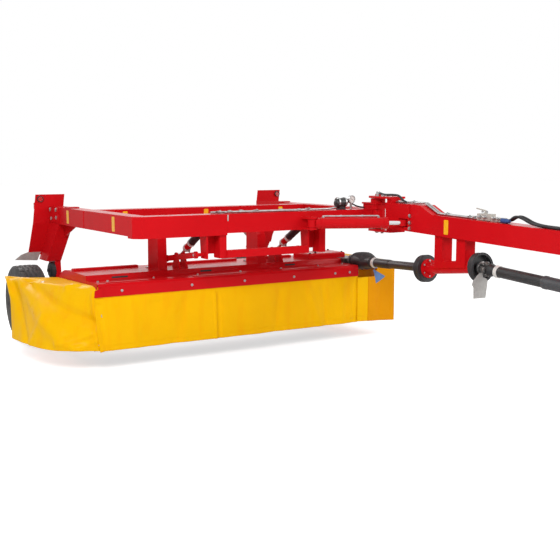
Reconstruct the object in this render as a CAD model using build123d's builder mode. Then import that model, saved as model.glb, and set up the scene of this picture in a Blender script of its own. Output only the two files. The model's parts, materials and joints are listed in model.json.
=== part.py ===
from build123d import *
import math
import os

os.makedirs("parts", exist_ok=True)

# Driving dimensions in millimetres. x runs to the machine's left, y rearward and z up from
# the ground. Lengths along x and y are counted from the middle of the head's front face, which
# stands head_x and head_y away from the middle of the whole machine.

# Clearances: of a shaft in its bore, of a piece on its seat, and between moving pieces
shaft_gap = 0.3
seat_gap = 0.3
joint_gap = 5

# Transport wheels
tyre_r = 385
tyre_w = 260
tyre_shoulder_r = 345
rim_r = 197
rim_w = 200
rim_wall = 8
hub_r = 62
axle_r = 27
wheel_offset = 371
wheel_y = 1785

# Head
head_w = 2777
half_head = head_w / 2
strip_low = 655
strip_high = 748
deck_low_z = 768
deck_z = 812
deck_step_y = 290
deck_slope = 14
sheet_t = 6
plate_t = 8
plate_in = half_head - plate_t
plate_tail_y = 1180
plate_front_y = 40
plate_nose_z = 300
plate_past = 60
plate_heel_z = 180
plate_tail_z = 420
hood_angle = 15
cutter_bar_y = 180
cutter_bar_w = 270
cutter_bar_h = 50
bar_floor = 155
skid_t = 14
skid_w = 180

# Cutting discs, as many as the head's width holds
disc_pitch = 366
disc_margin = 200
disc_count = int((head_w - disc_margin) / disc_pitch)
disc_y = cutter_bar_y + cutter_bar_w / 2
disc_short_r = 98
blade_r = disc_pitch - disc_short_r - 24
disc_long_r = blade_r - 56

# Conditioner rolls, one above the other, their ribs meshing
roll_y = 800
nip_z = 478
roll_core_r = 100
roll_tip_r = 124
roll_ribs = 10
rib_base = 28
rib_tip = 18
roll_mesh = 6
roll_stub_r = 30
roll_apart = roll_core_r + roll_tip_r + roll_mesh
roll_heights = (nip_z - roll_apart / 2, nip_z + roll_apart / 2)

# Gearbox at the head's left end and its input stub
gearbox_w = 200
gearbox_low = 640
gearbox_top = 812
gearbox_run = 320
input_back = 8
input_out = 106.5
input_x = half_head + input_out
input_y = 250
input_z = 785
input_stub = 130
input_r = 18

# Curtains
curtain_low = 184
curtain_t = 8
curtain_top = 704
curtain_out = 365
curtain_reach = input_x + curtain_out

# Main frame
frame_top = 1354
beam_h = 170
beam_w = 150
frame_inset = 208.5
frame_right = frame_inset - half_head
front_beam_y = -320
rear_beam_y = 960
beam_rear_end = 1900
corner_cut = 60
sleeve_end = -306
sleeve_drop = 16
sleeve_out = 8
frame_low = frame_top - beam_h
front_beam_back = front_beam_y + beam_w

# Drawbar swivel, over the head's left end
pivot_inset = 2.5
pivot_x = half_head - pivot_inset
pivot_y = -310
left_beam_x = pivot_x - beam_w / 2
boss_r = 72
swivel_pin_r = 30
lug_t = 20
lug_r = 92
lug_overlap = 70
cheek_high = 1400
cheek_lid_t = 16
lid_edge = 10

# Drawbar
bar_w = 180
block_rear_y = -540
block_front_y = -1030
step_front_y = -1190
block_top = 1425
block_low = 1184
boss_low = block_low - 19
boss_high = block_top + 30
beam_top = 1340
beam_low = 1160
bar_front_y = -3760
bar_drop = 95
flange_t = 18
flange_back = 150
flange_out = 12
swivel_head = 14
pocket_run = 60
sleeve_r = 70
sleeve_over = 50
sleeve_under = 20

# Drive line below the drawbar
hanger_rear_y = block_front_y - 30
housing_run = 630
hanger_front_y = hanger_rear_y - housing_run
hanger_rear_z = 840
hanger_front_z = 912
housing_r = 52
shaft_r = 40
guard_disc_r = 122
guard_disc_t = 42
cone_base_t = 20
cone_bore_r = 26
cross_arm = 45
cross_r = 12
cross_reach = 84
yoke_t = 14
shaft_end_back = 200
front_shaft_end = bar_front_y + shaft_end_back
front_drop = 118
yoke_length = 110
stub_r = 17.5

# Hitch headstock and parking jack
hitch_reach = 300
headstock_ahead = hitch_reach - bar_front_y
pin_span = 825
pin_r = 14
pin_length = 110
bar_z = 620
bar_r = 32
jack_back = 580
jack_y = bar_front_y + jack_back
jack_out = 62
jack_x = pivot_x + bar_w / 2 + jack_out
jack_lift = 350

# Suspension between frame and head: x of each hanger and of the post beside it on the deck
suspension = [(-405, -640), (660, 430)]
hanger_w = 200
hanger_box_w = 70
hanger_plate_t = 16
hanger_inset = 10
hanger_below = 36
web_inset = 36
web_t = 12
pin_tail = 8
post_w = 90
hanger_y = -245
link_run = 605
link_drop = 84
low_pivot_z = 1000
high_pivot_y = -112
high_pivot_z = 1246
link_t = 24
link_h = 52
link_pin_r = 16
eye_out = link_h / 2 + 6
cross_tube_w = 42
cross_tube_h = 68
ram_y = -112
ram_z = 1240
ram_foot_y = 430
ram_foot_z = 925
ear_r = 34
ear_t = 12
pin_out = 6
ram_ear_in = 40
link_places = [post_x + post_w / 2 + joint_gap + link_t / 2 for hanger_x, post_x in suspension]

# Swing ram between front beam and drawbar
swing_x = pivot_x - 856
swing_y = -425
swing_z = 1247
swing_eye_x = pivot_x - 86
swing_eye_y = -800
swing_barrel_r = 50
swing_rod_r = 20
swing_barrel_share = 0.83
swing_ear_in = 40
swing_ear_t = 18
swing_ear_r = 46
swing_pin_r = 18
swing_pin_half = 66
swing_eye_half = 36
swing_eye_r = 42

# Middle of the whole machine, measured back from the head's own middle
hitch_nose = headstock_ahead + bar_r
head_y = (hitch_nose - wheel_y - tyre_r) / 2
head_x = (curtain_reach - pivot_x - pin_span / 2 - pin_length) / 2


def level(z):
    """Horizontal plane at height z, with local x and y along the machine's own."""
    return Plane(origin=(head_x, head_y, z), x_dir=(1, 0, 0), z_dir=(0, 0, 1))


def side(x):
    """Upright plane along the machine at x, local y and z, facing the machine's left."""
    return Plane(origin=(head_x + x, head_y, 0), x_dir=(0, 1, 0), z_dir=(1, 0, 0))


def face(y):
    """Upright plane across the machine at y, local x and z, facing forward."""
    return Plane(origin=(head_x, head_y + y, 0), x_dir=(1, 0, 0), z_dir=(0, -1, 0))


def along(start, end):
    """Plane at start that faces end, for round bars between two points."""
    origin = Vector(start) + Vector(head_x, head_y, 0)
    return Plane(origin=origin, z_dir=Vector(end) - Vector(start))


def span(start, end):
    """Distance between two points."""
    return (Vector(end) - Vector(start)).length


# Main frame: four box beams around an open rectangle
with BuildPart() as front_beam:
    with BuildSketch(level(frame_low)):
        with BuildLine():
            Polyline(
                (frame_right, front_beam_back),
                (frame_right, front_beam_y + corner_cut),
                (frame_right + corner_cut, front_beam_y),
                (left_beam_x, front_beam_y),
                (left_beam_x, front_beam_back),
                close=True,
            )
        make_face()
    extrude(amount=beam_h)
    # Deeper boxed section at the right end
    with BuildSketch(level(frame_low - sleeve_drop)):
        with BuildLine():
            Polyline(
                (frame_right, front_beam_back),
                (frame_right, front_beam_y - sleeve_out + corner_cut),
                (frame_right + corner_cut, front_beam_y - sleeve_out),
                (sleeve_end, front_beam_y - sleeve_out),
                (sleeve_end, front_beam_back),
                close=True,
            )
        make_face()
    extrude(amount=beam_h + sleeve_drop)
    # Ears that carry the swing ram, above and below its eye
    for ear_z in (swing_z - swing_ear_in - swing_ear_t, swing_z + swing_ear_in):
        with BuildSketch(level(ear_z)):
            with Locations((swing_x, swing_y)):
                Circle(swing_ear_r)
            with Locations((swing_x, (swing_y + front_beam_y) / 2)):
                Rectangle(2 * swing_ear_r, front_beam_y - swing_y)
        extrude(amount=swing_ear_t)
    with BuildSketch(level(swing_z - swing_pin_half)):
        with Locations((swing_x, swing_y)):
            Circle(swing_pin_r)
    extrude(amount=2 * swing_pin_half)
    # Rear ears for the upper links and the lift rams
    for (hanger_x, post_x), link_x in zip(suspension, link_places):
        for ear_x in (link_x - link_t / 2 - joint_gap - ear_t, link_x + link_t / 2 + joint_gap):
            with BuildSketch(side(ear_x)):
                with Locations((high_pivot_y, high_pivot_z)):
                    Circle(ear_r)
                with Locations(((high_pivot_y + front_beam_back) / 2, high_pivot_z)):
                    Rectangle(high_pivot_y - front_beam_back, 2 * ear_r)
            extrude(amount=ear_t)
        with BuildSketch(side(link_x - link_t / 2 - joint_gap - ear_t - pin_out)):
            with Locations((high_pivot_y, high_pivot_z)):
                Circle(link_pin_r)
        extrude(amount=link_t + 2 * (joint_gap + ear_t + pin_out))
        for ear_x in (hanger_x - ram_ear_in - ear_t, hanger_x + ram_ear_in):
            with BuildSketch(side(ear_x)):
                with Locations((ram_y, ram_z)):
                    Circle(ear_r)
                with Locations(((ram_y + front_beam_back) / 2, ram_z)):
                    Rectangle(ram_y - front_beam_back, 2 * ear_r)
            extrude(amount=ear_t)
        with BuildSketch(side(hanger_x - ram_ear_in - ear_t - pin_out)):
            with Locations((ram_y, ram_z)):
                Circle(link_pin_r)
        extrude(amount=2 * (ram_ear_in + ear_t + pin_out))
front_beam.part.label = "front_beam"
export_step(front_beam.part, "parts/front_beam.step")

with BuildPart() as side_beam_right:
    with BuildSketch(side(frame_right)):
        with Locations(((front_beam_back + beam_rear_end) / 2, frame_low + beam_h / 2)):
            Rectangle(beam_rear_end - front_beam_back, beam_h)
    extrude(amount=beam_w)
side_beam_right.part.label = "side_beam_right"
export_step(side_beam_right.part, "parts/side_beam_right.step")

with BuildPart() as side_beam_left:
    with BuildSketch(side(left_beam_x)):
        with Locations(((front_beam_back + beam_rear_end) / 2, frame_low + beam_h / 2)):
            Rectangle(beam_rear_end - front_beam_back, beam_h)
    extrude(amount=beam_w)
side_beam_left.part.label = "side_beam_left"
export_step(side_beam_left.part, "parts/side_beam_left.step")

with BuildPart() as rear_crossbeam:
    with BuildSketch(side(frame_right + beam_w)):
        with Locations((rear_beam_y, frame_low + beam_h / 2)):
            Rectangle(beam_w, beam_h)
    extrude(amount=left_beam_x - frame_right - beam_w)
rear_crossbeam.part.label = "rear_crossbeam"
export_step(rear_crossbeam.part, "parts/rear_crossbeam.step")

# Swivel head for the drawbar, at the frame's front left corner
with BuildPart() as pivot_head:
    with BuildSketch(level(boss_low)):
        with Locations((pivot_x, pivot_y)):
            Circle(boss_r)
    extrude(amount=boss_high - boss_low)
    with BuildSketch(level(frame_low)):
        with Locations((pivot_x, (pivot_y + front_beam_back) / 2)):
            Rectangle(beam_w, front_beam_back - pivot_y)
    extrude(amount=beam_h)
    # Raised cheek around the boss, with a lid that stands over its edges
    for cheek_low, cheek_top, edge in (
        (frame_top, cheek_high, 0),
        (cheek_high, cheek_high + cheek_lid_t, lid_edge),
    ):
        with BuildSketch(level(cheek_low)):
            with Locations((pivot_x, (pivot_y + front_beam_back) / 2 - boss_r / 2)):
                Rectangle(beam_w + 2 * edge, front_beam_back - pivot_y + boss_r + 2 * edge)
        extrude(amount=cheek_top - cheek_low)
    with BuildSketch(level(boss_low - 1)):
        with Locations((pivot_x, pivot_y)):
            Circle(swivel_pin_r + shaft_gap)
    extrude(amount=boss_high - boss_low + 2, mode=Mode.SUBTRACT)
pivot_head.part.label = "pivot_head"
export_step(pivot_head.part, "parts/pivot_head.step")

# Hanger posts below the front beam: two plates and a web each
with BuildPart() as hanger_posts:
    for (hanger_x, post_x), link_x in zip(suspension, link_places):
        hanger_top = frame_low - (sleeve_drop if hanger_x < sleeve_end else 0)
        for plate_x in (hanger_x - hanger_w / 2, hanger_x + hanger_w / 2 - hanger_box_w):
            with BuildSketch(side(plate_x)):
                with BuildLine():
                    Polyline(
                        (front_beam_y + hanger_inset, hanger_top),
                        (front_beam_back - hanger_inset, hanger_top),
                        (front_beam_back - 3 * hanger_inset, low_pivot_z - hanger_below),
                        (front_beam_y + hanger_inset, low_pivot_z - hanger_below),
                        close=True,
                    )
                make_face()
            extrude(amount=hanger_plate_t if plate_x < hanger_x - hanger_box_w else hanger_box_w)
        with BuildSketch(level(hanger_top)):
            with Locations((hanger_x, front_beam_back - web_inset)):
                Rectangle(hanger_w, web_t)
        extrude(amount=-(hanger_top - low_pivot_z))
        with BuildSketch(side(link_x - link_t / 2 - joint_gap - pin_tail)):
            with Locations((hanger_y, low_pivot_z)):
                Circle(link_pin_r)
        extrude(amount=hanger_x - hanger_w / 2 - link_x + link_t / 2 + joint_gap + pin_tail)
hanger_posts.part.label = "hanger_posts"
export_step(hanger_posts.part, "parts/hanger_posts.step")

with BuildPart() as hanger_cross_tube:
    tube_start = suspension[0][0] + hanger_w / 2
    tube_end = suspension[1][0] - hanger_w / 2
    with BuildSketch(side(tube_start)):
        with Locations((hanger_y - eye_out - joint_gap - cross_tube_w / 2, low_pivot_z)):
            Rectangle(cross_tube_w, cross_tube_h)
    extrude(amount=tube_end - tube_start)
hanger_cross_tube.part.label = "hanger_cross_tube"
export_step(hanger_cross_tube.part, "parts/hanger_cross_tube.step")

# Wheel legs: a raked box below each side beam, an arm plate and the stub axle. Both lean to
# the machine's right and carry their wheel on that side.
leg_foot_z = 800
leg_lean = 95
leg_rake = 110
leg_depth = 290
leg_foot_depth = 250
arm_t = 60
arm_top_half = 110
arm_end_r = 78
arm_overlap = 40
leg_places = {"right": frame_right + beam_w / 2, "left": pivot_x}


def wheel_leg(beam_x):
    """One leg under the side beam whose middle is beam_x."""
    with BuildPart() as leg:
        top_y = beam_rear_end - leg_depth / 2
        foot_x = beam_x - leg_lean
        foot_y = top_y + leg_rake
        with BuildSketch(level(frame_low)):
            with Locations((beam_x, top_y)):
                Rectangle(beam_w, leg_depth)
        with BuildSketch(level(leg_foot_z)):
            with Locations((foot_x, foot_y)):
                Rectangle(beam_w, leg_foot_depth)
        loft(ruled=True)
        # Arm plate, rounded about the axle
        arm_x = foot_x + beam_w / 2
        with BuildSketch(side(arm_x)):
            with BuildLine():
                Polyline(
                    (foot_y - arm_top_half, leg_foot_z + arm_overlap),
                    (foot_y + arm_top_half, leg_foot_z + arm_overlap),
                    (wheel_y + arm_end_r, tyre_r),
                    (wheel_y - arm_end_r, tyre_r),
                    close=True,
                )
            make_face()
            with Locations((wheel_y, tyre_r)):
                Circle(arm_end_r)
        extrude(amount=-arm_t)
        # Stub axle
        with BuildSketch(side(arm_x - arm_t)):
            with Locations((wheel_y, tyre_r)):
                Circle(axle_r)
        axle_end = beam_x - wheel_offset - rim_w / 4
        extrude(amount=axle_end - (arm_x - arm_t))
    return leg


wheel_leg_right = wheel_leg(leg_places["right"])
wheel_leg_right.part.label = "wheel_leg_right"
export_step(wheel_leg_right.part, "parts/wheel_leg_right.step")
wheel_leg_left = wheel_leg(leg_places["left"])
wheel_leg_left.part.label = "wheel_leg_left"
export_step(wheel_leg_left.part, "parts/wheel_leg_left.step")

# Warning boards behind the legs: plates folded to the rake of the leg, with round lamps
board_w = 305
board_top = 1476
board_low = 850
board_t = 8
board_lean = 75
board_offsets = (61, 101)
board_places = {
    "right": frame_right + beam_w / 2 - board_offsets[0],
    "left": pivot_x + board_offsets[1],
}
lamp_r = 26
lamp_t = 14
lamp_inset = (45, 46)


def warning_board(board_x):
    """One board behind a leg, with its top edge centred at board_x."""
    rake = leg_rake + (leg_foot_depth - leg_depth) / 2
    back = beam_rear_end + seat_gap
    foot_back = back + rake * (frame_low - board_low) / (frame_low - leg_foot_z)
    with BuildPart() as board:
        with BuildSketch(side(board_x - board_w)):
            with BuildLine():
                Polyline(
                    (back, board_top),
                    (back, frame_low),
                    (foot_back, board_low),
                    (foot_back + board_t, board_low),
                    (back + board_t, frame_low),
                    (back + board_t, board_top),
                    close=True,
                )
            make_face()
        extrude(amount=2 * board_w)
        with BuildSketch(face(beam_rear_end + leg_rake * 2)):
            with BuildLine():
                Polyline(
                    (board_x - board_lean - board_w / 2, board_low),
                    (board_x - board_lean + board_w / 2, board_low),
                    (board_x + board_w / 2, board_top),
                    (board_x - board_w / 2, board_top),
                    close=True,
                )
            make_face()
        extrude(amount=leg_rake * 3, mode=Mode.INTERSECT)
    return board


board_right = warning_board(board_places["right"])
board_left = warning_board(board_places["left"])
with BuildPart() as light_boards:
    add(board_right.part)
    add(board_left.part)
light_boards.part.label = "light_boards"
export_step(light_boards.part, "parts/light_boards.step")

with BuildPart() as lamps:
    for side_name, board_x in board_places.items():
        outer = -1 if side_name == "right" else 1
        lamp_x = board_x + outer * (board_w / 2 - lamp_inset[0])
        with BuildSketch(face(beam_rear_end)):
            with Locations((lamp_x, board_top - lamp_inset[1])):
                Circle(lamp_r)
        extrude(amount=lamp_t)
lamps.part.label = "lamps"
export_step(lamps.part, "parts/lamps.step")

# Wheels: tyre and rim of each
wheel_places = {name: beam_x - wheel_offset for name, beam_x in leg_places.items()}


def wheel_section(x):
    """Upright plane through the middle of the wheel at x, local y being its radius."""
    return Plane(origin=(head_x + x, head_y + wheel_y, tyre_r), x_dir=(1, 0, 0), z_dir=(0, -1, 0))


def tyre(x):
    """Tyre at x, a ring with rounded shoulders."""
    half = tyre_w / 2
    with BuildPart() as ring:
        with BuildSketch(wheel_section(x)):
            with BuildLine():
                Polyline(
                    (-half + 18, rim_r),
                    (-half, rim_r + 60),
                    (-half, tyre_shoulder_r - 20),
                    (-half + 14, tyre_shoulder_r + 14),
                    (-half + 50, tyre_r - 4),
                    (-40, tyre_r),
                    (40, tyre_r),
                    (half - 50, tyre_r - 4),
                    (half - 14, tyre_shoulder_r + 14),
                    (half, tyre_shoulder_r - 20),
                    (half, rim_r + 60),
                    (half - 18, rim_r),
                    close=True,
                )
            make_face()
        revolve(axis=Axis(wheel_section(x).origin, (1, 0, 0)))
    return ring


def rim(x):
    """Rim at x: a rolled ring, a dished disc with a hub, bored for the stub axle."""
    half = rim_w / 2
    lip = rim_r - 1
    with BuildPart() as wheel:
        with BuildSketch(wheel_section(x)):
            with BuildLine():
                Polyline(
                    (-half, lip),
                    (half, lip),
                    (half, lip - rim_wall),
                    (half - 40, lip - rim_wall - 24),
                    (36, lip - rim_wall - 24),
                    (-4, hub_r + 34),
                    (-4, hub_r),
                    (half * 0.8, hub_r),
                    (half * 0.8, axle_r + shaft_gap),
                    (-half * 0.8, axle_r + shaft_gap),
                    (-half * 0.8, hub_r),
                    (-16, hub_r),
                    (-16, hub_r + 38),
                    (20, lip - rim_wall - 24),
                    (-half + 40, lip - rim_wall - 24),
                    (-half, lip - rim_wall),
                    close=True,
                )
            make_face()
        revolve(axis=Axis(wheel_section(x).origin, (1, 0, 0)))
    return wheel


tyre_right = tyre(wheel_places["right"])
tyre_right.part.label = "tyre_right"
export_step(tyre_right.part, "parts/tyre_right.step")
tyre_left = tyre(wheel_places["left"])
tyre_left.part.label = "tyre_left"
export_step(tyre_left.part, "parts/tyre_left.step")
rim_right = rim(wheel_places["right"])
rim_right.part.label = "rim_right"
export_step(rim_right.part, "parts/rim_right.step")
rim_left = rim(wheel_places["left"])
rim_left.part.label = "rim_left"
export_step(rim_left.part, "parts/rim_left.step")

# Drawbar: a tall rear block that carries the swivel lugs, a step down and a long box beam
eye_gap = 24
eye_r = 38
with BuildPart() as drawbar_beam:
    with BuildSketch(side(pivot_x - bar_w / 2)):
        with BuildLine():
            Polyline(
                (block_rear_y, block_low),
                (block_rear_y, block_top),
                (block_front_y, block_top - 8),
                (step_front_y, beam_top),
                (bar_front_y, beam_top - bar_drop),
                (bar_front_y, beam_low - bar_drop),
                (step_front_y, beam_low),
                close=True,
            )
        make_face()
    extrude(amount=bar_w)
    # Swivel lugs above and below the frame's boss
    for lug_z in (boss_low - joint_gap - lug_t, boss_high + joint_gap):
        with BuildSketch(level(lug_z)):
            with Locations((pivot_x, pivot_y)):
                Circle(lug_r)
            with Locations((pivot_x, (pivot_y + block_rear_y - lug_overlap) / 2)):
                Rectangle(2 * lug_r, pivot_y - block_rear_y + lug_overlap)
        extrude(amount=lug_t)
    # Blocks that join the lugs to the beam
    lug_blocks = (boss_low - joint_gap - 1, block_low + 30), (block_top - 30, boss_high + joint_gap + 1)
    for low_z, high_z in lug_blocks:
        with BuildSketch(level(low_z)):
            with Locations((pivot_x, block_rear_y - lug_overlap / 2)):
                Rectangle(bar_w - 30, lug_overlap)
        extrude(amount=high_z - low_z)
    # Swivel pin with a head above and below
    with BuildSketch(level(boss_low - joint_gap - lug_t - swivel_head)):
        with Locations((pivot_x, pivot_y)):
            Circle(swivel_pin_r)
    extrude(amount=boss_high - boss_low + 2 * (joint_gap + lug_t + swivel_head))
    # Bolted flange around the block
    with BuildSketch(face(block_front_y + flange_back)):
        with Locations((pivot_x, (block_top + block_low - flange_out) / 2)):
            Rectangle(bar_w + 2 * flange_out, block_top - block_low + 4)
    extrude(amount=flange_t)
    # Pocket for the swing ram's eye, open to the right
    with BuildSketch(level(swing_z - eye_r)):
        with Locations((swing_eye_x - pocket_run, swing_eye_y)):
            Rectangle(2 * (pocket_run + eye_r + eye_gap), 2 * (eye_r + eye_gap))
    extrude(amount=2 * eye_r, mode=Mode.SUBTRACT)
    # Front sleeve for the headstock's swivel pin
    with BuildSketch(level(beam_low - bar_drop - sleeve_under)):
        with Locations((pivot_x, bar_front_y)):
            Circle(sleeve_r)
    extrude(amount=beam_h + sleeve_over)
    with BuildSketch(level(beam_low - bar_drop - sleeve_under - 1)):
        with Locations((pivot_x, bar_front_y)):
            Circle(swivel_pin_r + shaft_gap)
    extrude(amount=beam_h + sleeve_over + 2, mode=Mode.SUBTRACT)
drawbar_beam.part.label = "drawbar_beam"
export_step(drawbar_beam.part, "parts/drawbar_beam.step")

# Hanger below the drawbar: two posts with a slot between them, carrying the shaft housing
slot_w = 178
slot_edge = 10
hanger_t = 120
hanger_edges = (hanger_rear_y - 146, hanger_front_y + 97)
slot_back = hanger_rear_y - 245
housing_flange_r = 88
housing_flange_t = 16


def bar_under(y):
    """Height of the box beam's underside at y."""
    share = (step_front_y - y) / (step_front_y - bar_front_y)
    return beam_low - bar_drop * share


def housing_z(y):
    """Height of the shaft housing's axis at y."""
    return hanger_rear_z + (hanger_front_z - hanger_rear_z) * (hanger_rear_y - y) / housing_run


housing_start = (pivot_x, hanger_rear_y, hanger_rear_z)
housing_end = (pivot_x, hanger_front_y, hanger_front_z)
housing_dir = (Vector(housing_end) - Vector(housing_start)).normalized()
cross_y = hanger_rear_y + cross_reach
cross_z = hanger_rear_z
with BuildPart() as pto_hanger:
    with BuildSketch(side(pivot_x - hanger_t / 2)):
        with BuildLine():
            Polyline(
                (hanger_edges[0], bar_under(hanger_edges[0])),
                (hanger_edges[0], housing_z(hanger_edges[0])),
                (hanger_edges[1], housing_z(hanger_edges[1])),
                (hanger_edges[1], bar_under(hanger_edges[1])),
                close=True,
            )
        make_face()
        with BuildLine():
            Polyline(
                (slot_back, bar_under(slot_back) - slot_edge),
                (slot_back, housing_z(slot_back) + housing_r + slot_edge),
                (slot_back - slot_w, housing_z(slot_back - slot_w) + housing_r + slot_edge),
                (slot_back - slot_w, bar_under(slot_back - slot_w) - slot_edge),
                close=True,
            )
        make_face(mode=Mode.SUBTRACT)
    extrude(amount=hanger_t)
    with BuildSketch(along(housing_start, housing_end)):
        Circle(housing_r)
    extrude(amount=span(housing_start, housing_end))
    # Flanges that the rubber cones are bolted to
    for end, inward in ((housing_start, housing_end), (housing_end, housing_start)):
        with BuildSketch(along(end, inward)):
            Circle(housing_flange_r)
        extrude(amount=housing_flange_t)
    # Stub and yoke that hold the upright arms of the rear joint cross
    with BuildSketch(along(housing_start, Vector(housing_start) - housing_dir)):
        Circle(cone_bore_r - shaft_gap)
    extrude(amount=cross_reach - 40)
    for ear in (-1, 1):
        with BuildSketch(level(cross_z + ear * (cross_arm + joint_gap + yoke_t / 2) - yoke_t / 2)):
            with Locations((pivot_x, cross_y - 22)):
                Rectangle(30, 44 + 20)
        extrude(amount=yoke_t)
    with BuildSketch(face(cross_y - 30)):
        with Locations((pivot_x, cross_z)):
            Rectangle(30, 2 * (cross_arm + joint_gap + yoke_t))
    extrude(amount=24)
pto_hanger.part.label = "pto_hanger"
export_step(pto_hanger.part, "parts/pto_hanger.step")

# Rubber guard cones at both ends of the housing, open away from it
with BuildPart() as guard_discs:
    for base, outward in ((Vector(housing_start), -housing_dir), (Vector(housing_end), housing_dir)):
        with BuildSketch(along(base, base + outward)):
            Circle(guard_disc_r)
        extrude(amount=cone_base_t + guard_disc_t)
        with BuildSketch(along(base + outward * cone_base_t, base + outward * 2 * cone_base_t)):
            Circle(guard_disc_r - 16)
        extrude(amount=guard_disc_t + 1, mode=Mode.SUBTRACT)
        # Opening for the shaft in the base
        with BuildSketch(along(base - outward, base + outward)):
            Circle(cone_bore_r)
        extrude(amount=cone_base_t + 2, mode=Mode.SUBTRACT)
guard_discs.part.label = "guard_discs"
export_step(guard_discs.part, "parts/guard_discs.step")

# Front drive shaft in its guard tubes, parked below the drawbar on a hook
front_start = (pivot_x, hanger_front_y - cone_base_t - joint_gap - 9, hanger_front_z)
front_end = (pivot_x, front_shaft_end, hanger_front_z - front_drop)
outer_share = 0.34
outer_from = tuple(a + (b - a) * outer_share for a, b in zip(front_start, front_end))
joint_from = Vector(housing_end) + housing_dir * seat_gap
with BuildPart() as front_shaft:
    # Joint in the front guard cone, seated on the housing
    with BuildSketch(along(joint_from, joint_from + housing_dir)):
        Circle(cone_bore_r - shaft_gap)
    extrude(amount=cone_base_t + 4 * joint_gap)
    with BuildSketch(along(front_start, front_end)):
        Circle(shaft_r)
    extrude(amount=span(front_start, front_end))
    with BuildSketch(along(outer_from, front_end)):
        Circle(shaft_r + 4)
    extrude(amount=span(outer_from, front_end) - 60)
    with BuildSketch(along(front_end, front_start)):
        Circle(shaft_r + 24)
    extrude(amount=90)
front_shaft.part.label = "front_shaft"
export_step(front_shaft.part, "parts/front_shaft.step")

# Hook below the drawbar in which the front shaft is parked
hook_w = 30
hook_y = front_shaft_end + 330
shaft_slope = front_drop / (front_start[1] - front_end[1])
hook_shaft_z = front_start[2] - (front_start[1] - hook_y + hook_w) * shaft_slope
hook_floor = hook_shaft_z - (shaft_r + 4) * math.hypot(1, shaft_slope) - seat_gap
hook_post_x = pivot_x - 70
hook_t = 12
with BuildPart() as shaft_hook:
    with BuildSketch(face(hook_y)):
        with Locations((hook_post_x, (bar_under(hook_y - hook_w) + hook_floor - hook_t) / 2)):
            Rectangle(hook_t, bar_under(hook_y - hook_w) - hook_floor + hook_t)
        with Locations((pivot_x - 6, hook_floor - hook_t / 2)):
            Rectangle(140, hook_t)
        with Locations((pivot_x + 70 - hook_t, hook_floor + 8)):
            Rectangle(hook_t, 40)
    extrude(amount=hook_w)
shaft_hook.part.label = "shaft_hook"
export_step(shaft_hook.part, "parts/shaft_hook.step")

# Yoke on the front end of the drive shaft, bored for the tractor's stub shaft
shaft_dir = (Vector(front_end) - Vector(front_start)).normalized()
yoke_start = Vector(front_end) + shaft_dir * seat_gap
yoke_plane = along(yoke_start, yoke_start + shaft_dir)
with BuildPart() as front_yoke:
    with BuildSketch(yoke_plane):
        Circle(38)
    extrude(amount=yoke_length)
    with BuildSketch(yoke_plane.offset(yoke_length - 76)):
        Circle(stub_r)
    extrude(amount=80, mode=Mode.SUBTRACT)
front_yoke.part.label = "front_yoke"
export_step(front_yoke.part, "parts/front_yoke.step")

# Headstock: swivel jaws, two legs and the cross bar with the lower link pins
jaw_low = beam_low - bar_drop - sleeve_under
jaw_high = jaw_low + beam_h + sleeve_over
jaw_r = 78
jaw_pin_head = 12
leg_out = 250
leg_w = 90
leg_t = 80
shoulder_z = bar_z + 330
crown_w = 180
crown_in_w = 120
window_edge = 40
window_shoulder_z = bar_z + 300
window_crown_drop = 100
jaw_back = 100
plate_back = 110
bar_back = 60
with BuildPart() as headstock:
    for jaw_z in (jaw_low - joint_gap - lug_t, jaw_high + joint_gap):
        with BuildSketch(level(jaw_z)):
            with Locations((pivot_x, bar_front_y)):
                Circle(jaw_r)
            with Locations((pivot_x, (bar_front_y - headstock_ahead + jaw_back) / 2)):
                Rectangle(2 * jaw_r, bar_front_y + headstock_ahead - jaw_back)
        extrude(amount=lug_t)
    with BuildSketch(level(jaw_low - joint_gap - lug_t - jaw_pin_head)):
        with Locations((pivot_x, bar_front_y)):
            Circle(swivel_pin_r)
    extrude(amount=jaw_high - jaw_low + 2 * (joint_gap + lug_t + jaw_pin_head))
    with BuildSketch(face(-headstock_ahead + plate_back)):
        with BuildLine():
            Polyline(
                (pivot_x - crown_w / 2, jaw_high + joint_gap + lug_t),
                (pivot_x - leg_out - leg_w / 2, shoulder_z),
                (pivot_x - leg_out - leg_w / 2, bar_z),
                (pivot_x + leg_out + leg_w / 2, bar_z),
                (pivot_x + leg_out + leg_w / 2, shoulder_z),
                (pivot_x + crown_w / 2, jaw_high + joint_gap + lug_t),
                close=True,
            )
        make_face()
        with BuildLine():
            Polyline(
                (pivot_x - crown_in_w / 2, jaw_low - window_crown_drop),
                (pivot_x - leg_out + leg_w / 2, window_shoulder_z),
                (pivot_x - leg_out + leg_w / 2, bar_z + window_edge),
                (pivot_x + leg_out - leg_w / 2, bar_z + window_edge),
                (pivot_x + leg_out - leg_w / 2, window_shoulder_z),
                (pivot_x + crown_in_w / 2, jaw_low - window_crown_drop),
                close=True,
            )
        make_face(mode=Mode.SUBTRACT)
    extrude(amount=leg_t)
    with BuildSketch(side(pivot_x - pin_span / 2)):
        with Locations((-headstock_ahead, bar_z)):
            Circle(bar_r)
    extrude(amount=pin_span)
    with BuildSketch(face(-headstock_ahead + bar_back)):
        with Locations((pivot_x, bar_z)):
            Rectangle(2 * leg_out + leg_w, 2 * bar_r - 8)
    extrude(amount=bar_back)
    with BuildSketch(side(pivot_x - pin_span / 2 - pin_length)):
        with Locations((-headstock_ahead, bar_z)):
            Circle(pin_r)
    extrude(amount=pin_span + 2 * pin_length)
headstock.part.label = "headstock"
export_step(headstock.part, "parts/headstock.step")

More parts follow.
